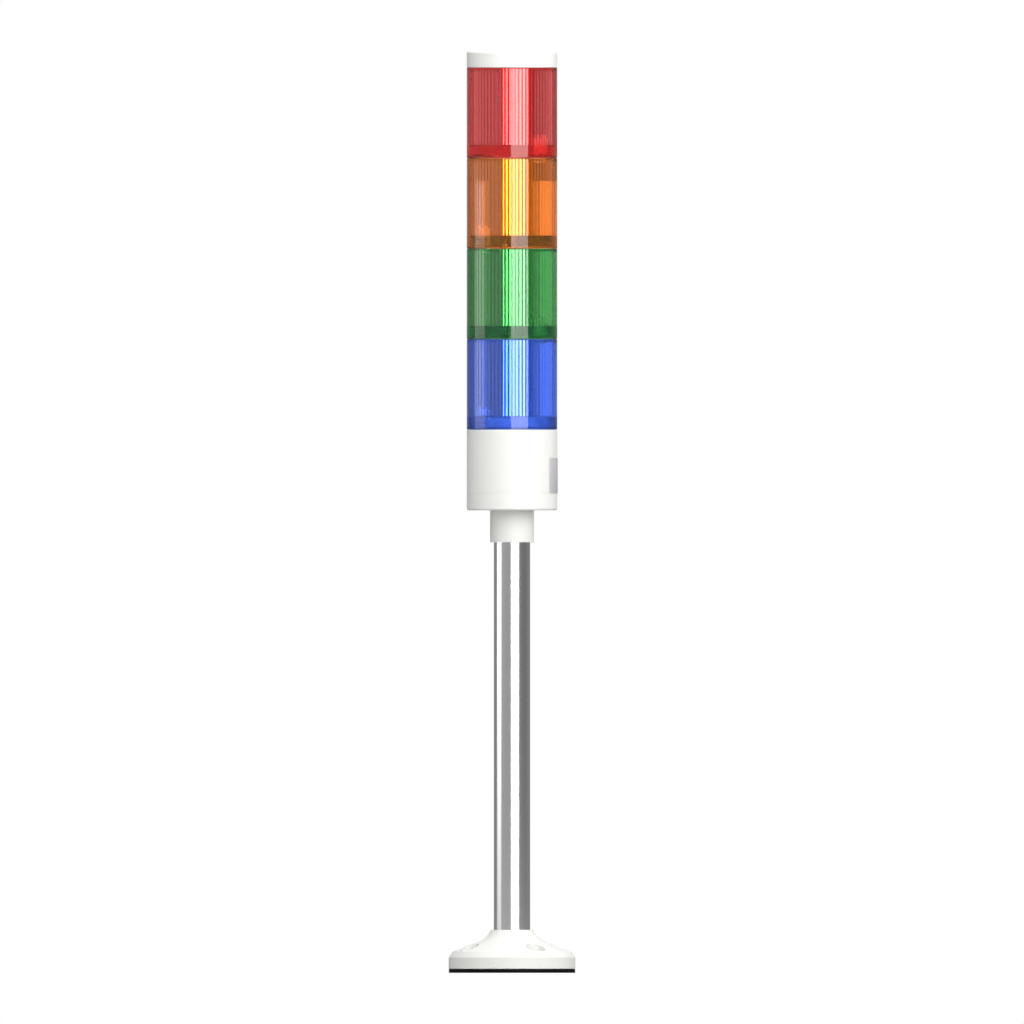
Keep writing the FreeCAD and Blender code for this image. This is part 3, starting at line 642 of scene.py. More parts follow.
@dataclass(frozen=True)
class Finish:
    """A surface finish: its two close tones, its gloss and its grain."""

    name: str
    light: Colour
    dark: Colour
    roughness: float = 0.4
    roughness_swing: float = 0.06
    metallic: float = 0.0
    transmission: float = 0.0
    ior: float = 1.5
    specular: float = 0.5
    coat: float = 0.0
    coat_ior: float = 1.5
    cloud_scale: float = 18.0
    grain_scale: float = 900.0
    grain_depth: float = 0.01 * MM
    clear_wall: bool = False
    ribbed: bool = False
    mirror_inside: float = 0.0
    mirror_tone: Colour = CLEAR
    mirror_cover: float = 0.9

    def build(self) -> Material:
        """Makes the material.

        Returns:
            The material, ready to give to a piece.
        """
        material = bpy.data.materials.new(self.name)
        material.use_nodes = True
        tree = material.node_tree
        surface = tree.nodes["Principled BSDF"]
        set_inputs(
            surface,
            Metallic=self.metallic,
            IOR=self.ior,
            Transmission_Weight=self.transmission,
            Specular_IOR_Level=self.specular,
            Coat_Weight=self.coat,
            Coat_IOR=self.coat_ior,
        )
        grain = add_group(tree, GRAIN, Cloud_Scale=self.cloud_scale, Grain_Scale=self.grain_scale)
        tone = add_node(tree, "Mix")
        tone.data_type = "RGBA"
        set_inputs(tone, A=(*self.dark, 1), B=(*self.light, 1))
        half_swing = self.roughness_swing / 2
        gloss = add_node(
            tree, "MapRange", To_Min=self.roughness - half_swing, To_Max=self.roughness + half_swing
        )
        wire(
            tree,
            (grain.outputs["Cloud"], tone.inputs["Factor"]),
            (tone.outputs["Result"], surface.inputs["Base Color"]),
            (grain.outputs["Cloud"], gloss.inputs["Value"]),
            (gloss.outputs["Result"], surface.inputs["Roughness"]),
        )
        if self.grain_depth:
            bump = add_node(tree, "Bump", Strength=1.0, Distance=self.grain_depth)
            wire(
                tree,
                (grain.outputs["Grain"], bump.inputs["Height"]),
                (bump.outputs["Normal"], surface.inputs["Normal"]),
            )
        if self.mirror_inside:
            self.mirror_from_inside(tree)
        if self.coat:
            self.gloss_from_outside(tree)
        if self.clear_wall:
            self.open_to_light(tree, tone.outputs["Result"])
        return material

    def gloss_from_outside(self, tree: Tree) -> None:
        """Keeps the surface's gloss to the side that faces the room, fainter in the sink marks.

        Args:
            tree: The material's nodes.
        """
        side = add_node(tree, "NewGeometry")
        weight = add_node(tree, "MapRange", To_Min=self.coat, To_Max=0.0)
        wire(tree, (side.outputs["Backfacing"], weight.inputs["Value"]))
        coat = weight.outputs["Result"]
        if self.ribbed:
            marks = add_group(tree, SINK_MARKS)
            coat = calculate(tree, "MULTIPLY", coat, marks.outputs["Mask"])
        wire(tree, (coat, tree.nodes["Principled BSDF"].inputs["Coat Weight"]))

    def mirror_from_inside(self, tree: Tree) -> None:
        """Makes the surface throw back light that reaches it from within the wall.

        Args:
            tree: The material's nodes.
        """
        clear = tree.nodes["Principled BSDF"]
        mirror = add_node(tree, "BsdfPrincipled")
        for plain, made in zip(clear.inputs, mirror.inputs):
            if plain.is_linked:
                wire(tree, (plain.links[0].from_socket, made))
            elif hasattr(plain, "default_value"):
                made.default_value = plain.default_value
        set_inputs(mirror, Metallic=self.mirror_inside)
        tone = add_node(tree, "Mix")
        tone.data_type = "RGBA"
        set_inputs(tone, Factor=self.mirror_cover, B=(*self.mirror_tone, 1))
        wire(
            tree,
            (clear.inputs["Base Color"].links[0].from_socket, tone.inputs["A"]),
            (tone.outputs["Result"], mirror.inputs["Base Color"]),
        )
        side = add_node(tree, "NewGeometry")
        out = tree.nodes["Material Output"].inputs["Surface"]
        either_shader(tree, side.outputs["Backfacing"], clear.outputs["BSDF"], mirror.outputs["BSDF"], out)

    def open_to_light(self, tree: Tree, tint: Socket) -> None:
        """Lets direct light through a clear wall, so that what stands inside is lit.

        Args:
            tree: The material's nodes.
            tint: The wall's colour.
        """
        path = add_node(tree, "LightPath")
        through = add_node(tree, "BsdfTransparent")
        out = tree.nodes["Material Output"].inputs["Surface"]
        wall = out.links[0].from_socket
        wire(tree, (tint, through.inputs["Color"]))
        either_shader(tree, path.outputs["Is Shadow Ray"], wall, through.outputs["BSDF"], out)


WHITE_PLASTIC = Finish(
    "white moulded plastic",
    (0.90, 0.90, 0.87),
    (0.885, 0.885, 0.855),
    roughness=0.6,
    specular=0.3,
    cloud_scale=14.0,
)
POLISHED_TUBE = Finish(
    "polished drawn tube",
    (0.93, 0.93, 0.935),
    (0.90, 0.90, 0.905),
    roughness=0.16,
    roughness_swing=0.0,
    metallic=1.0,
    grain_depth=0.0,
)
BLACK_RUBBER = Finish(
    "black gasket rubber", grey(0.004), grey(0.002), roughness=0.6, specular=0.08, grain_depth=0.02 * MM
)
SEAL_RUBBER = Finish("grey seal rubber", grey(0.20), grey(0.16), roughness=0.6)
LABEL_FILM = Finish("label film", (0.62, 0.60, 0.62), (0.58, 0.56, 0.58), roughness=0.35)
ZINC_STEEL = Finish(
    "zinc plated steel", (0.62, 0.62, 0.60), (0.48, 0.48, 0.47), roughness=0.38, metallic=1.0
)
CIRCUIT_BOARD = Finish("circuit board", (0.24, 0.25, 0.24), (0.20, 0.21, 0.20), roughness=0.45)
LIGHT_CHIP = Finish("light chip resin", (0.22, 0.21, 0.16), (0.20, 0.19, 0.14), roughness=0.3)
CONTACT_PLASTIC = Finish("contact plastic", (0.40, 0.40, 0.39), (0.35, 0.35, 0.34), roughness=0.5)
# Painted shade: the housing's neck is the same white plastic, and this grey stands for the shade it sits
# in inside the lowest lens.
NECK_PAINTED_SHADE = Finish("neck plastic painted shade", grey(0.36), grey(0.33), roughness=0.5)
TERMINAL_PLASTIC = Finish("terminal plastic", (0.05, 0.16, 0.07), (0.04, 0.13, 0.06), roughness=0.5)
PALE_FLOOR = Finish("pale floor", grey(0.46), grey(0.44), roughness=0.7)


@dataclass(frozen=True)
class Tint:
    """The tints of one clear lens, how far it bends light, and the record's slot for it."""

    slot: Slot
    wall: Colour
    neck: Colour
    wall_ior: float = 1.08
    inner_ior: float = 1.015
    gloss_ior: float = 1.60
    dark_share: float = 0.97
    crest_mirror: float = 0.47

    def clear(self, place: str, tone: Colour) -> Finish:
        """The clear tinted plastic of one side of the wall.

        Args:
            place: The side's name.
            tone: Its tint.

        Returns:
            The finish.
        """
        return Finish(
            f"{self.slot.value}_{place}",
            tone,
            tuple(self.dark_share * channel for channel in tone),
            roughness=0.0,
            roughness_swing=0.0,
            transmission=1.0,
            ior=self.wall_ior,
            grain_depth=0.0,
            clear_wall=True,
        )

    def outer(self) -> Finish:
        """The smooth outer wall, which carries the colour."""
        return replace(self.clear("outside", self.wall), coat=1.0, coat_ior=self.gloss_ior, ribbed=True)

    def inner(self) -> Finish:
        """The wall's inner side, skirt and shelf."""
        return replace(self.clear("inside", CLEAR), ior=self.inner_ior)

    def necks(self) -> Finish:
        """The thin neck on top."""
        return self.clear("neck", self.neck)

    def crests(self) -> Finish:
        """The ribs' crests, which throw the light back."""
        return replace(self.clear("crests", CLEAR), mirror_inside=self.crest_mirror)


TINTS = {
    "blue": Tint(Slot.LENS_BLUE, (0.030, 0.082, 0.46), (0.62, 0.77, 0.92)),
    "green": Tint(Slot.LENS_GREEN, (0.028, 0.175, 0.038), (0.62, 0.77, 0.85)),
    "orange": Tint(Slot.LENS_ORANGE, (0.49, 0.115, 0.010), (0.98, 0.75, 0.70)),
    "red": Tint(Slot.LENS_RED, (0.55, 0.030, 0.030), (0.98, 0.60, 0.60)),
}


def dress(piece: Piece, material: Material) -> None:
    """Gives a piece one material.

    Args:
        piece: A new piece or a CAD node's object.
        material: The finish to show.
    """
    if not piece.material_slots:
        piece.data.materials.append(material)
    for place in piece.material_slots:
        place.material = material


def dress_faces(
    piece: Piece, finish: Finish, low: float, high: float, outer: float, inner: float = 0.0
) -> None:
    """Gives the faces between two radii and two heights their own finish.

    Args:
        piece: The piece in its place.
        finish: Their finish.
        low: Smallest height of the faces' middles.
        high: Largest height.
        outer: Largest radius.
        inner: Smallest radius.
    """
    piece.data.materials.append(finish.build())
    clear_selection(piece, Part.FACES)
    for face in piece.data.polygons:
        radius = math.hypot(face.center.x, face.center.y)
        face.select = low < face.center.z < high and inner < radius < outer
    piece.active_material_index = len(piece.material_slots) - 1
    bpy.ops.object.mode_set(mode="EDIT")
    bpy.ops.object.material_slot_assign()
    bpy.ops.object.mode_set(mode="OBJECT")


# ---------------------------------------------------------------------------
# Base: gasket and mounting flange
# ---------------------------------------------------------------------------


@dataclass
class Base:
    """The rubber gasket and the flared mounting flange with its four screw holes."""

    sides: int = 256
    gasket_radius: float = 41.9 * MM
    gasket_opening: float = 18.0 * MM
    gasket_height: float = 2.6 * MM
    gasket_round: float = 0.25 * MM
    side_radius: float = 42.0 * MM
    side_top: float = 10.2 * MM
    side_round: float = 0.5 * MM
    shoulder_radius: float = 39.2 * MM
    shoulder_top: float = 14.2 * MM
    shoulder_round: float = 0.9 * MM
    flare_radius: float = 22.5 * MM
    flare_height: float = 20.5 * MM
    flare_curve: float = 15.3 * MM
    flare_steps: int = 14
    rim_radius: float = 14.0 * MM
    rim_height: float = 28.5 * MM
    rim_round: float = 0.2 * MM
    seat_radius: float = 12.1 * MM
    recess_radius: float = 17.5 * MM
    recess_top: float = 8.4 * MM
    recess_round: float = 0.4 * MM
    ledge_top: float = 12.0 * MM
    ledge_radius: float = 10.7 * MM
    screw_circle: float = 32.5 * MM
    screw_turn: float = 29.0
    screw_hole: float = 2.75 * MM
    screw_hole_sides: int = 48
    counterbore: float = 6.4 * MM
    counterbore_floor: float = 8.0 * MM
    counterbore_sides: int = 64
    overcut: float = 1.0 * MM
    crease: float = 25.0

    def screw_places(self) -> Points:
        """The places of the screw holes in plan, from the front towards +X.

        Returns:
            The places as (x, y).
        """
        places = []
        for quarter in range(4):
            angle = math.radians(self.screw_turn + 90 * quarter)
            places.append((self.screw_circle * math.sin(angle), -self.screw_circle * math.cos(angle)))
        return places

    def bore(self, piece: Piece, radius: float, foot: float, top: float, sides: int) -> None:
        """Cuts a round hole at every screw place.

        Args:
            piece: The piece that gets the holes.
            radius: The hole's radius.
            foot: Height of the hole's floor.
            top: Height that it is cut to.
            sides: How many faces go round the hole.
        """
        for x, y in self.screw_places():
            deselect_all()
            bpy.ops.mesh.primitive_cylinder_add(
                vertices=sides, radius=radius, depth=top - foot, location=(x, y, (foot + top) / 2)
            )
            cutter = bpy.context.object
            settle(cutter)
            apply_modifier(piece, "BOOLEAN", operation="DIFFERENCE", object=cutter, solver="EXACT")
            bpy.data.objects.remove(cutter)

    def flare(self) -> Points:
        """The hollow curve from the slope up to the rim round the tube.

        Returns:
            The points as (radius, height).
        """
        start = Vector((self.flare_radius, self.flare_height))
        end = Vector((self.rim_radius, self.rim_height))
        chord = end - start
        half = chord.length / 2
        outwards = Vector((chord.y, -chord.x)).normalized()
        centre = (start + end) / 2 + outwards * math.sqrt(self.flare_curve**2 - half**2)
        first = math.degrees(math.atan2(start.y - centre.y, start.x - centre.x))
        last = math.degrees(math.atan2(end.y - centre.y, end.x - centre.x))
        if last - first > 180:
            last -= 360
        if last - first < -180:
            last += 360
        return arc_points(centre, self.flare_curve, first, last, self.flare_steps)

    def build_gasket(self) -> Piece:
        """The rubber ring under the flange.

        Returns:
            The ring with its screw holes.
        """
        edge = self.gasket_round
        corners = [
            Corner(self.gasket_opening, 0.0, edge),
            Corner(self.gasket_radius, 0.0, edge),
            Corner(self.gasket_radius, self.gasket_height, edge),
            Corner(self.gasket_opening, self.gasket_height, edge),
        ]
        piece = turned("gasket_ring", outline_points(corners), self.sides)
        top = self.gasket_height + self.overcut
        self.bore(piece, self.screw_hole, -self.overcut, top, self.screw_hole_sides)
        smooth(piece)
        return piece

    def build_flange(self) -> Piece:
        """The flange: straight side, shoulder, slope and flare, bored for the tube and the screws.

        Returns:
            The flange.
        """
        before = outline_points(
            [
                Corner(self.ledge_radius, self.recess_top),
                Corner(self.recess_radius, self.recess_top, self.recess_round),
                Corner(self.recess_radius, self.gasket_height, self.recess_round),
                Corner(self.side_radius, self.gasket_height, self.side_round),
                Corner(self.side_radius, self.side_top, self.side_round),
                Corner(self.shoulder_radius, self.shoulder_top, self.shoulder_round),
                Corner(self.flare_radius, self.flare_height),
            ]
        )[:-1]
        after = outline_points(
            [
                Corner(self.flare_radius, self.flare_height),
                Corner(self.rim_radius - self.rim_round, self.rim_height),
                Corner(self.seat_radius, self.rim_height, self.rim_round),
                Corner(self.seat_radius, self.ledge_top),
                Corner(self.ledge_radius, self.ledge_top),
            ]
        )[1:]
        piece = turned("flange_body", before + self.flare() + after, self.sides)
        top = self.rim_height + self.overcut
        self.bore(piece, self.counterbore, self.counterbore_floor, top, self.counterbore_sides)
        self.bore(piece, self.screw_hole, 0.0, self.rim_height, self.screw_hole_sides)
        smooth(piece, self.crease)
        return piece

    def build(self, white: Material) -> Iterable[Piece]:
        """Builds, dresses and places the base.

        Args:
            white: The white plastic.

        Returns:
            The pieces made.
        """
        gasket = self.build_gasket()
        dress(gasket, BLACK_RUBBER.build())
        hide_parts("base_gasket")
        flange = self.build_flange()
        dress(flange, white)
        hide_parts("mounting_flange")
        for piece in (gasket, flange):
            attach(piece, "base")
        return gasket, flange


# ---------------------------------------------------------------------------
# Tube and collar
# ---------------------------------------------------------------------------


@dataclass
class Tube:
    """The polished tube and the white collar that holds the head on it."""

    sides: int = 256
    radius: float = 12.0 * MM
    bore: float = 10.5 * MM
    end_round: float = 0.3 * MM
    collar_radius: float = 14.5 * MM
    collar_foot: float = 285.5 * MM
    collar_round: float = 0.4 * MM
    collar_bore: float = 12.1 * MM
    mouth_round: float = 0.2 * MM
    collar_neck: float = 10.7 * MM

    def build_tube(self, low: float, high: float) -> Piece:
        """The tube's wall between two heights.

        Args:
            low: Height of its lower end.
            high: Height of its upper end.

        Returns:
            The tube.
        """
        corners = [
            Corner(self.bore, low, self.end_round),
            Corner(self.radius, low, self.end_round),
            Corner(self.radius, high, self.end_round),
            Corner(self.bore, high, self.end_round),
        ]
        piece = turned("tube_wall", outline_points(corners), self.sides)
        smooth(piece)
        return piece

    def build_collar(self, tube_top: float) -> Piece:
        """The collar, with the ledge inside it that the tube ends at.

        Args:
            tube_top: Height of the tube's upper end.

        Returns:
            The collar.
        """
        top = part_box("pole_collar")[1][2]
        corners = [
            Corner(self.collar_neck, top),
            Corner(self.collar_neck, tube_top),
            Corner(self.collar_bore, tube_top),
            Corner(self.collar_bore, self.collar_foot, self.mouth_round),
            Corner(self.collar_radius, self.collar_foot, self.collar_round),
            Corner(self.collar_radius, top),
        ]
        piece = turned("collar_body", outline_points(corners), self.sides)
        smooth(piece)
        return piece

    def build(self, white: Material) -> Iterable[Piece]:
        """Builds, dresses and places the tube and the collar.

        Args:
            white: The white plastic.

        Returns:
            The pieces made.
        """
        low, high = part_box("pole")
        tube = self.build_tube(low[2], high[2])
        dress(tube, POLISHED_TUBE.build())
        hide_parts("pole")
        collar = self.build_collar(high[2])
        dress(collar, white)
        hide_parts("pole_collar")
        for piece in (tube, collar):
            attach(piece, "base")
        return tube, collar


# ---------------------------------------------------------------------------
# Head
# ---------------------------------------------------------------------------


@dataclass
class Head:
    """The white head: the housing with its neck, and the label on its side."""

    sides: int = 256
    corner_steps: int = 4
    rim: float = 317.9 * MM
    top_round: float = 0.8 * MM
    wall_inside: float = 27.4 * MM
    seam: float = 0.22 * MM
    neck_start: float = 0.5 * MM
    label_turn: float = 55.0
    label_width: float = 72.0
    label_sink: float = 0.02 * MM
    label_stand: float = 0.34 * MM
    label_round: float = 0.12 * MM

    def build_housing(self) -> Piece:
        """The housing with the neck that the lowest tier turns on.

        Returns:
            The housing with its lugs.
        """
        corners = JOINT.neck(FIRST_JOINT) + [
            Corner(self.wall_inside, FIRST_JOINT - JOINT.shelf_thickness),
            Corner(self.wall_inside, self.rim),
            Corner(JOINT.wall_radius, self.rim, self.seam),
            Corner(JOINT.wall_radius, FIRST_JOINT, self.top_round),
        ]
        piece = turned("housing_body", outline_points(corners, self.corner_steps), self.sides)
        piece = join([piece] + JOINT.lugs("housing", FIRST_JOINT))
        smooth(piece)
        return piece

    def build_label(self) -> Piece:
        """The thin plate wrapped round the housing's side.

        Returns:
            The plate.
        """
        low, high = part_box("label_plate")
        piece = ring_piece(
            "label_sheet",
            JOINT.wall_radius - self.label_sink,
            JOINT.wall_radius + self.label_stand,
            low[2],
            high[2] - low[2],
            self.label_turn - 90 + self.label_width / 2,
            self.label_width,
        )
        apply_modifier(piece, "BEVEL", width=self.label_round, segments=2, limit_method="ANGLE")
        smooth(piece)
        return piece

    def build(self, white: Material) -> Iterable[Piece]:
        """Builds, dresses and places the head.

        Args:
            white: The white plastic.

        Returns:
            The pieces made.
        """
        housing = self.build_housing()
        dress(housing, white)
        neck_foot = FIRST_JOINT + self.neck_start
        # Painted shade: the neck's faces, white plastic like the rest of the housing, get a darker grey
        # for the shade inside the lens.
        dress_faces(housing, NECK_PAINTED_SHADE, neck_foot, FIRST_JOINT + PITCH, JOINT.wall_radius)
        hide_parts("housing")
        label = self.build_label()
        dress(label, LABEL_FILM.build())
        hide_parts("label_plate")
        for piece in (housing, label):
            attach(piece, "base")
        return housing, label


# ---------------------------------------------------------------------------
# Light tiers
# ---------------------------------------------------------------------------


@dataclass
class Tiers:
    """The four tinted lenses, one mould in four colours.

    A rib's flat crest takes crest_share of the ribs' pitch, and faces that stand in from the wall
    by more than crest_start of a rib's depth are its crest.
    """

    faces_per_rib: int = 8
    rib_root: float = 27.7 * MM
    rib_depth: float = 1.2 * MM
    crest_share: float = 0.5
    crest_start: float = 0.9
    shoulder_thickness: float = 0.6 * MM
    shelf_step: float = 0.2 * MM
    gusset_spread: float = 30.0
    gusset_width: float = 1.6 * MM
    gusset_height: float = 2.7 * MM
    gusset_sink: float = 0.5 * MM
    gusset_round: float = 0.2 * MM
    crease: float = 35.0

    def build_mould(self) -> Piece:
        """One lens with its foot at height 0: skirt, ribbed wall, shoulder and neck.

        Returns:
            The lens that the four colours are copied from.
        """
        shelf_foot = PITCH - JOINT.shelf_thickness
        shelf_edge = self.rib_root - self.rib_depth - self.shelf_step
        rib_top = PITCH - self.shoulder_thickness
        corners = (
            JOINT.neck(PITCH)
            + [
                Corner(shelf_edge, shelf_foot),
                Corner(shelf_edge, rib_top),
                Corner(self.rib_root, rib_top),
                Corner(self.rib_root, JOINT.skirt_top),
            ]
            + JOINT.skirt()
            + [
                Corner(JOINT.wall_radius, shelf_foot),
                Corner(JOINT.wall_radius, PITCH, JOINT.wall_round),
            ]
        )
        piece = turned("lens_mould", outline_points(corners), RIBS * self.faces_per_rib)
        self.shape_ribs(piece, JOINT.skirt_top, rib_top)
        piece = join([piece] + JOINT.tabs("lens") + JOINT.lugs("lens", PITCH) + self.gussets())
        smooth(piece, self.crease)
        return piece

    def gussets(self) -> list[Piece]:
        """The small webs under the shelf, a pair about each lug.

        Returns:
            The webs.
        """
        made = []
        reach = self.rib_root + self.gusset_sink - JOINT.shelf_radius
        for side in range(2):
            for spread in (-self.gusset_spread, self.gusset_spread):
                deselect_all()
                bpy.ops.mesh.primitive_cube_add(size=1)
                web = bpy.context.object
                web.name = f"lens_gusset_{len(made)}"
                web.scale = (reach, self.gusset_width, self.gusset_height)
                web.location = (JOINT.shelf_radius + reach / 2, 0, PITCH - self.gusset_height / 2)
                settle(web)
                apply_modifier(web, "BEVEL", width=self.gusset_round, segments=2)
                web.rotation_euler.z = math.radians(JOINT.lug_turn + 180 * side + spread)
                settle(web)
                made.append(web)
        return made

    def shape_ribs(self, piece: Piece, low: float, high: float) -> None:
        """Draws every second strip of the inner wall in to a rib with a flat crest.

        Args:
            piece: The lens.
            low: Height of the ribs' foot.
            high: Height of the ribs' top.
        """
        step = TURN / (RIBS * self.faces_per_rib)
        first = round(self.faces_per_rib * (1 - self.crest_share) / 2)
        clear_selection(piece, Part.VERTICES)
        for vertex in piece.data.vertices:
            place = vertex.co
            at_end = abs(place.z - low) < NEAR or abs(place.z - high) < NEAR
            on_wall = abs(math.hypot(place.x, place.y) - self.rib_root) < NEAR
            part = round((math.atan2(place.y, place.x) % TURN) / step) % self.faces_per_rib
            vertex.select = at_end and on_wall and first <= part <= self.faces_per_rib - first
        bpy.ops.object.mode_set(mode="EDIT")
        shrink = (self.rib_root - self.rib_depth) / self.rib_root
        bpy.ops.transform.resize(value=(shrink, shrink, 1), center_override=(0, 0, 0))
        bpy.ops.object.mode_set(mode="OBJECT")

    def dress_lens(self, lens: Piece, tint: Tint, foot: float) -> None:
        """Gives a lens its colour outside and its clear finishes inside.

        Args:
            lens: The lens in its place.
            tint: Its tints.
            foot: Height of the joint at its foot.
        """
        shoulder = foot + PITCH
        beyond = shoulder + PITCH
        ribs = foot + JOINT.skirt_top
        shelf_foot = shoulder - JOINT.shelf_thickness
        crest = self.rib_root - self.crest_start * self.rib_depth
        neck_edge = JOINT.neck_radius + MARGIN
        dress(lens, tint.outer().build())
        dress_faces(lens, tint.inner(), foot, shoulder + MM, JOINT.wall_radius - MARGIN)
        dress_faces(lens, tint.crests(), ribs, shelf_foot, crest)
        dress_faces(lens, tint.necks(), shoulder, beyond, neck_edge)
        dress_faces(lens, tint.inner(), shoulder + MM, beyond, JOINT.skirt_radius - MARGIN, neck_edge)

    def build(self) -> Iterable[Piece]:
        """Builds, dresses and places the four lenses.

        Returns:
            The pieces made.
        """
        mould = self.build_mould()
        made = []
        for index, (colour, tint) in enumerate(TINTS.items()):
            lens = copy_piece(mould, f"tier_{colour}")
            foot = FIRST_JOINT + index * PITCH
            lift(lens, foot)
            self.dress_lens(lens, tint, foot)
            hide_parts(f"lens_{colour}")
            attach(lens, f"{colour}_unit")
            made.append(lens)
        bpy.data.objects.remove(mould)
        return made


@dataclass
class Cap:
    """The white cap that closes the top tier."""

    sides: int = 256
    corner_steps: int = 4
    height: float = 10.8 * MM
    top_round: float = 1.2 * MM
    closed_radius: float = JOINT.wall_radius / 2

    def build(self, white: Material) -> Iterable[Piece]:
        """Builds, dresses and places the cap.

        Args:
            white: The white plastic.

        Returns:
            The pieces made.
        """
        corners = JOINT.skirt() + [
            Corner(JOINT.wall_radius, self.height, self.top_round),
            Corner(self.closed_radius, self.height),
            Corner(self.closed_radius, JOINT.skirt_top),
        ]
        piece = turned("cap_shell", outline_points(corners, self.corner_steps), self.sides)
        for height in (self.height, JOINT.skirt_top):
            self.close_disc(piece, height)
        clean_mesh(piece)
        piece = join([piece] + JOINT.tabs("cap"))
        lift(piece, FIRST_JOINT + len(TINTS) * PITCH)
        smooth(piece)
        dress(piece, white)
        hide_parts("top_cap")
        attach(piece, "cap_unit")
        return (piece,)

    def close_disc(self, piece: Piece, height: float) -> None:
        """Draws one face of the cap's middle in to its centre.

        Args:
            piece: The cap, open in the middle.
            height: Height of the face to close.
        """
        clear_selection(piece, Part.VERTICES)
        for vertex in piece.data.vertices:
            at_height = abs(vertex.co.z - height) < NEAR
            at_hole = abs(math.hypot(vertex.co.x, vertex.co.y) - self.closed_radius) < NEAR
            vertex.select = at_height and at_hole
        bpy.ops.object.mode_set(mode="EDIT")
        bpy.ops.mesh.merge(type="CENTER")
        bpy.ops.object.mode_set(mode="OBJECT")


# ---------------------------------------------------------------------------
# Carried-over CAD nodes
# ---------------------------------------------------------------------------

# Finishes by node name. A name that ends in an underscore stands for every node that starts so.
CARRIED = {
    "base_washer": ZINC_STEEL,
    "base_clamp_bolt": ZINC_STEEL,
    "head_washer": ZINC_STEEL,
    "head_clamp_bolt": ZINC_STEEL,
    "cover_screws": ZINC_STEEL,
    "control_board_screws": ZINC_STEEL,
    "cover_seal": SEAL_RUBBER,
    "tier_seal_": SEAL_RUBBER,
    "control_board": CIRCUIT_BOARD,
    "light_board_": CIRCUIT_BOARD,
    "light_chips_": LIGHT_CHIP,
    "plug_column_": CONTACT_PLASTIC,
    "post_socket_": CONTACT_PLASTIC,
    "contact_post_": CONTACT_PLASTIC,
    "terminal_block": TERMINAL_PLASTIC,
    "bottom_cover": WHITE_PLASTIC,
}


def dress_carried_nodes() -> Iterable[Piece]:
    """Gives each CAD node that shows its own finish.

    Returns:
        The nodes' objects.
    """
    made: dict[str, Material] = {}
    dressed = []
    for name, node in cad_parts.items():
        for start, finish in CARRIED.items():
            if name == start or (start.endswith("_") and name.startswith(start)):
                if finish.name not in made:
                    made[finish.name] = finish.build()
                dress(node, made[finish.name])
                dressed.append(node)
    return dressed


# ---------------------------------------------------------------------------
# Studio
# ---------------------------------------------------------------------------


class Ray(Enum):
    """The kinds of ray that a light can be seen by."""

    DIFFUSE = "diffuse"
    GLOSSY = "glossy"
    TRANSMISSION = "transmission"


def area_light(
    name: str,
    width: float,
    height: float,
    radiance: float,
    place: tuple[float, float, float],
    turn: tuple[float, float, float] = (0, 0, 0),
) -> Piece:
    """A soft light with straight sides.

    Args:
        name: The light's name.
        width: Its width in metres.
        height: Its height in metres.
        radiance: Its brightness.
        place: Its middle.
        turn: Its turn, from facing down.

    Returns:
        The light's object.
    """
    light = bpy.data.lights.new(name, "AREA")
    light.shape = "RECTANGLE"
    light.size = width
    light.size_y = height
    light.energy = radiance * math.pi * width * height
    lamp = bpy.data.objects.new(name, light)
    lamp.location = place
    lamp.rotation_euler = turn
    bpy.context.scene.collection.objects.link(lamp)
    return lamp


@dataclass(frozen=True)
class Fade:
    """How a light grows brighter with height: from a share of its strength at the foot to full."""

    foot: float
    top: float
    share: float

    def build(self, light: bpy.types.Light) -> None:
        """Sets up the fade in the light's nodes.

        Args:
            light: The light.
        """
        light.use_nodes = True
        tree = light.node_tree
        place = add_node(tree, "NewGeometry")
        apart = add_node(tree, "SeparateXYZ")
        ramp = add_node(tree, "MapRange", From_Min=self.foot, From_Max=self.top, To_Min=self.share)
        wire(
            tree,
            (place.outputs["Position"], apart.inputs["Vector"]),
            (apart.outputs["Z"], ramp.inputs["Value"]),
            (ramp.outputs["Result"], tree.nodes["Emission"].inputs["Strength"]),
        )


@dataclass(frozen=True)
class Softbox:
    """An upright soft light that faces the tube's axis.

    Its azimuth goes from the front towards +X, and its span is the angle that it covers as seen
    from the axis, both in degrees. Low and high are the heights of its edges, and reach is its
    distance from the axis.
    """

    name: str
    azimuth: float
    span: float
    low: float
    high: float
    radiance: float
    seen_by: tuple[Ray, ...] = (Ray.GLOSSY,)
    reach: float = 1.5
    fade: Fade | None = None

    def build(self) -> Piece:
        """Hangs the light.

        Returns:
            The light's object.
        """
        angle = math.radians(self.azimuth)
        width = 2 * self.reach * math.tan(math.radians(self.span / 2))
        middle = (self.low + self.high) / 2
        place = (self.reach * math.sin(angle), -self.reach * math.cos(angle), middle)
        turn = (math.pi / 2, 0, angle)
        lamp = area_light(self.name, width, self.high - self.low, self.radiance, place, turn)
        if self.fade:
            self.fade.build(lamp.data)
        for ray in Ray:
            setattr(lamp, f"visible_{ray.value}", ray in self.seen_by)
        return lamp


ROOM_LIGHTS = (
    Softbox("front softbox", azimuth=19.25, span=43.5, low=-0.05, high=0.70, radiance=5.8),
    Softbox(
        "lens light",
        azimuth=9,
        span=69,
        low=-0.05,
        high=0.95,
        radiance=23.0,
        seen_by=(Ray.TRANSMISSION,),
    ),
    Softbox(
        "left softbox",
        azimuth=-90.5,
        span=35,
        low=-0.05,
        high=0.525,
        radiance=2.0,
        seen_by=(Ray.GLOSSY, Ray.TRANSMISSION),
        fade=Fade(foot=0.03, top=0.36, share=0.17),
    ),
    Softbox(
        "key fill", azimuth=25, span=100, low=0.45, high=1.85, radiance=2.7, seen_by=(Ray.DIFFUSE,)
    ),
)


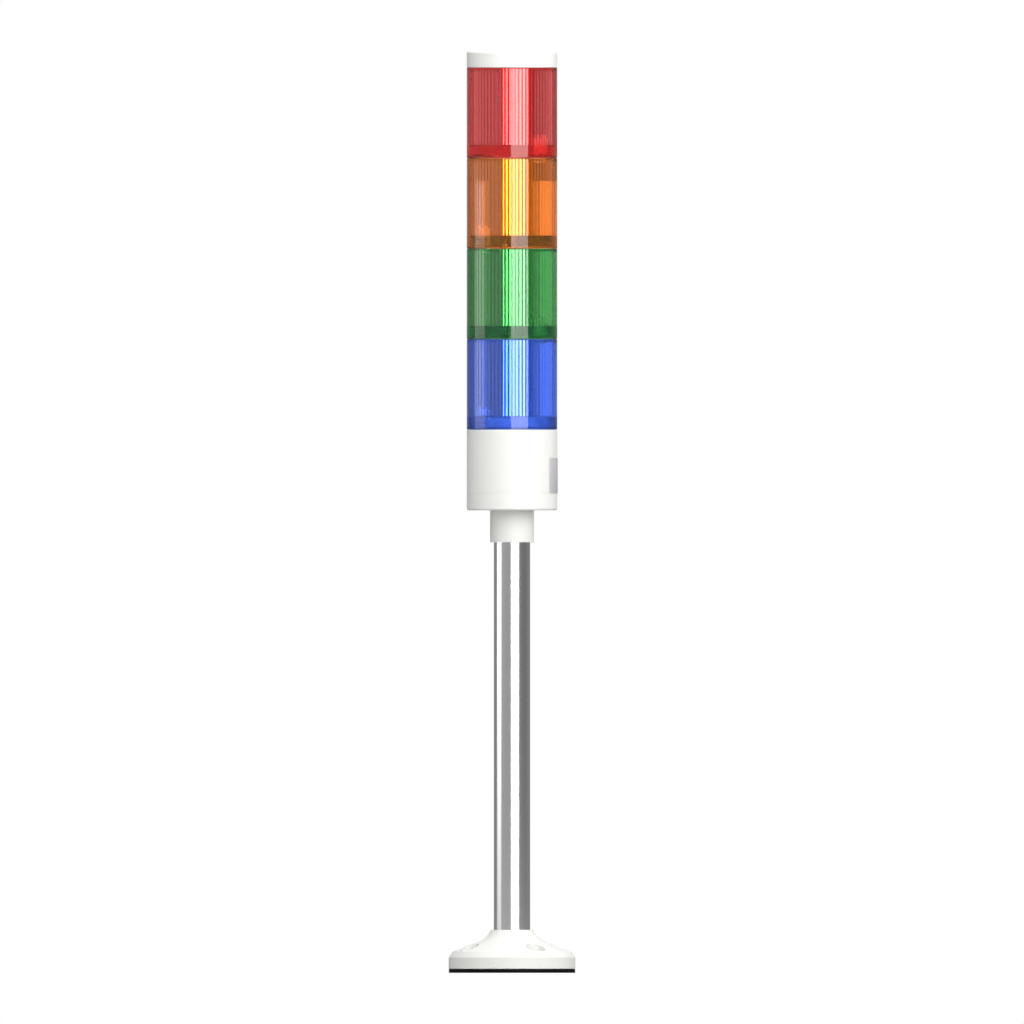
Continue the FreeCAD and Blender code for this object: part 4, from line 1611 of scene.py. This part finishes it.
@dataclass
class Studio:
    """Floor, lights, surroundings and camera."""

    lit_lenses: bpy.types.Collection
    floor_size: float = 8.0
    floor_drop: float = 0.2 * MM
    tier_light_reach: float = 0.8
    right_radiance: float = 0.45
    top_right_radiance: float = 0.95
    strip_width: float = 15.8 * MM
    strip_x: float = 22.1 * MM
    strip_y: float = 35.0 * MM
    strip_heights: tuple[float, ...] = (WINDOW_HEIGHT, WINDOW_HEIGHT, 35.8 * MM)
    strip_radiance: float = 1.6
    overhead_size: float = 2.0
    overhead_height: float = 1.8
    overhead_radiance: float = 1.6
    left_tone: float = 0.40
    right_tone: float = 0.16
    rear_tone: float = 0.22
    rear_start: float = 0.2
    rear_end: float = 0.6
    view_width: float = 0.6790
    view_height: float = 0.3056
    view_distance: float = 3.0

    def tier_lights(self, tier: int) -> None:
        """The lights about one tier, which light nothing but the lenses.

        Args:
            tier: The tier, counted from 0 at the head.
        """
        low = FIRST_JOINT + WINDOW_FOOT + PITCH * tier
        top_tier = tier == len(TINTS) - 1
        right = self.top_right_radiance if top_tier else self.right_radiance
        for side, azimuth, span, radiance in (
            ("left", -70, 84, 0.95),
            ("left rear", -141, 56, 0.12),
            ("right", 92, 65, right),
            ("right rear", 147, 44, 0.10),
        ):
            lamp = Softbox(
                f"{side} lens light {tier}",
                azimuth,
                span,
                low,
                low + WINDOW_HEIGHT,
                radiance,
                reach=self.tier_light_reach,
            ).build()
            lamp.light_linking.receiver_collection = self.lit_lenses

    def back_strips(self) -> None:
        """Narrow lights behind the right of the lower three tiers, seen only through them."""
        for tier, height in enumerate(self.strip_heights):
            middle = FIRST_JOINT + WINDOW_FOOT + PITCH * tier + height / 2
            lamp = area_light(
                f"back strip {tier}",
                self.strip_width,
                height,
                self.strip_radiance,
                (self.strip_x, self.strip_y, middle),
                (-math.pi / 2, 0, 0),
            )
            lamp.visible_camera = lamp.visible_diffuse = lamp.visible_glossy = False

    def overhead(self) -> None:
        """A wide soft light above the object."""
        size = self.overhead_size
        area_light("overhead", size, size, self.overhead_radiance, (0, 0, self.overhead_height))

    def floor(self) -> None:
        """A plain pale floor."""
        deselect_all()
        bpy.ops.mesh.primitive_plane_add(size=self.floor_size, location=(0, 0, -self.floor_drop))
        plane = bpy.context.object
        plane.name = "floor"
        settle(plane)
        dress(plane, PALE_FLOOR.build())

    def surroundings(self) -> None:
        """A grey room, brighter to the left, behind a white backdrop."""
        world = bpy.data.worlds.new("studio")
        bpy.context.scene.world = world
        world.use_nodes = True
        tree = world.node_tree
        tree.nodes.clear()
        out = add_node(tree, "OutputWorld")
        room = add_node(tree, "Background")
        backdrop = add_node(tree, "Background", Color=(1, 1, 1, 1))
        path = add_node(tree, "LightPath")
        place = add_node(tree, "TexCoord")
        apart = add_node(tree, "SeparateXYZ")
        side = add_node(
            tree, "MapRange", From_Min=-1.0, From_Max=1.0, To_Min=self.left_tone, To_Max=self.right_tone
        )
        behind = add_node(tree, "MapRange", From_Min=self.rear_start, From_Max=self.rear_end)
        back = add_node(tree, "MapRange", To_Min=self.rear_tone)
        tone = add_node(tree, "Mix")
        tone.data_type = "FLOAT"
        wire(
            tree,
            (place.outputs["Generated"], apart.inputs["Vector"]),
            (apart.outputs["X"], side.inputs["Value"]),
            (apart.outputs["Y"], behind.inputs["Value"]),
            (path.outputs["Is Transmission Ray"], back.inputs["Value"]),
            (behind.outputs["Result"], tone.inputs["Factor"]),
            (side.outputs["Result"], tone.inputs["A"]),
            (back.outputs["Result"], tone.inputs["B"]),
            (tone.outputs["Result"], room.inputs["Color"]),
        )
        either_shader(
            tree,
            path.outputs["Is Camera Ray"],
            room.outputs["Background"],
            backdrop.outputs["Background"],
            out.inputs["Surface"],
        )

    def camera(self) -> None:
        """A level camera with parallel rays, in front of the object."""
        data = bpy.data.cameras.new("camera")
        data.type = "ORTHO"
        data.ortho_scale = self.view_width
        camera = bpy.data.objects.new("camera", data)
        camera.location = (0, -self.view_distance, self.view_height)
        camera.rotation_euler = (math.pi / 2, 0, 0)
        bpy.context.scene.collection.objects.link(camera)
        bpy.context.scene.camera = camera

    def build(self) -> None:
        """Sets up the whole studio."""
        self.floor()
        self.surroundings()
        for softbox in ROOM_LIGHTS:
            softbox.build()
        for tier in range(len(TINTS)):
            self.tier_lights(tier)
        self.back_strips()
        self.overhead()
        self.camera()
        bpy.context.scene.view_settings.view_transform = "Standard"


def main() -> None:
    """Builds and dresses every piece in order."""
    logging.basicConfig(level=logging.INFO)
    white = WHITE_PLASTIC.build()
    for piece in dress_carried_nodes():
        LOG.info("CAD piece %s", piece.name)
    for piece in Base().build(white):
        LOG.info("base piece %s", piece.name)
    for piece in Tube().build(white):
        LOG.info("tube piece %s", piece.name)
    for piece in Head().build(white):
        LOG.info("head piece %s", piece.name)
    lit_lenses = bpy.data.collections.new("lenses")
    for piece in Tiers().build():
        LOG.info("tier %s", piece.name)
        lit_lenses.objects.link(piece)
    for piece in Cap().build(white):
        LOG.info("cap %s", piece.name)
    Studio(lit_lenses).build()


if __name__ == "__main__":
    main()
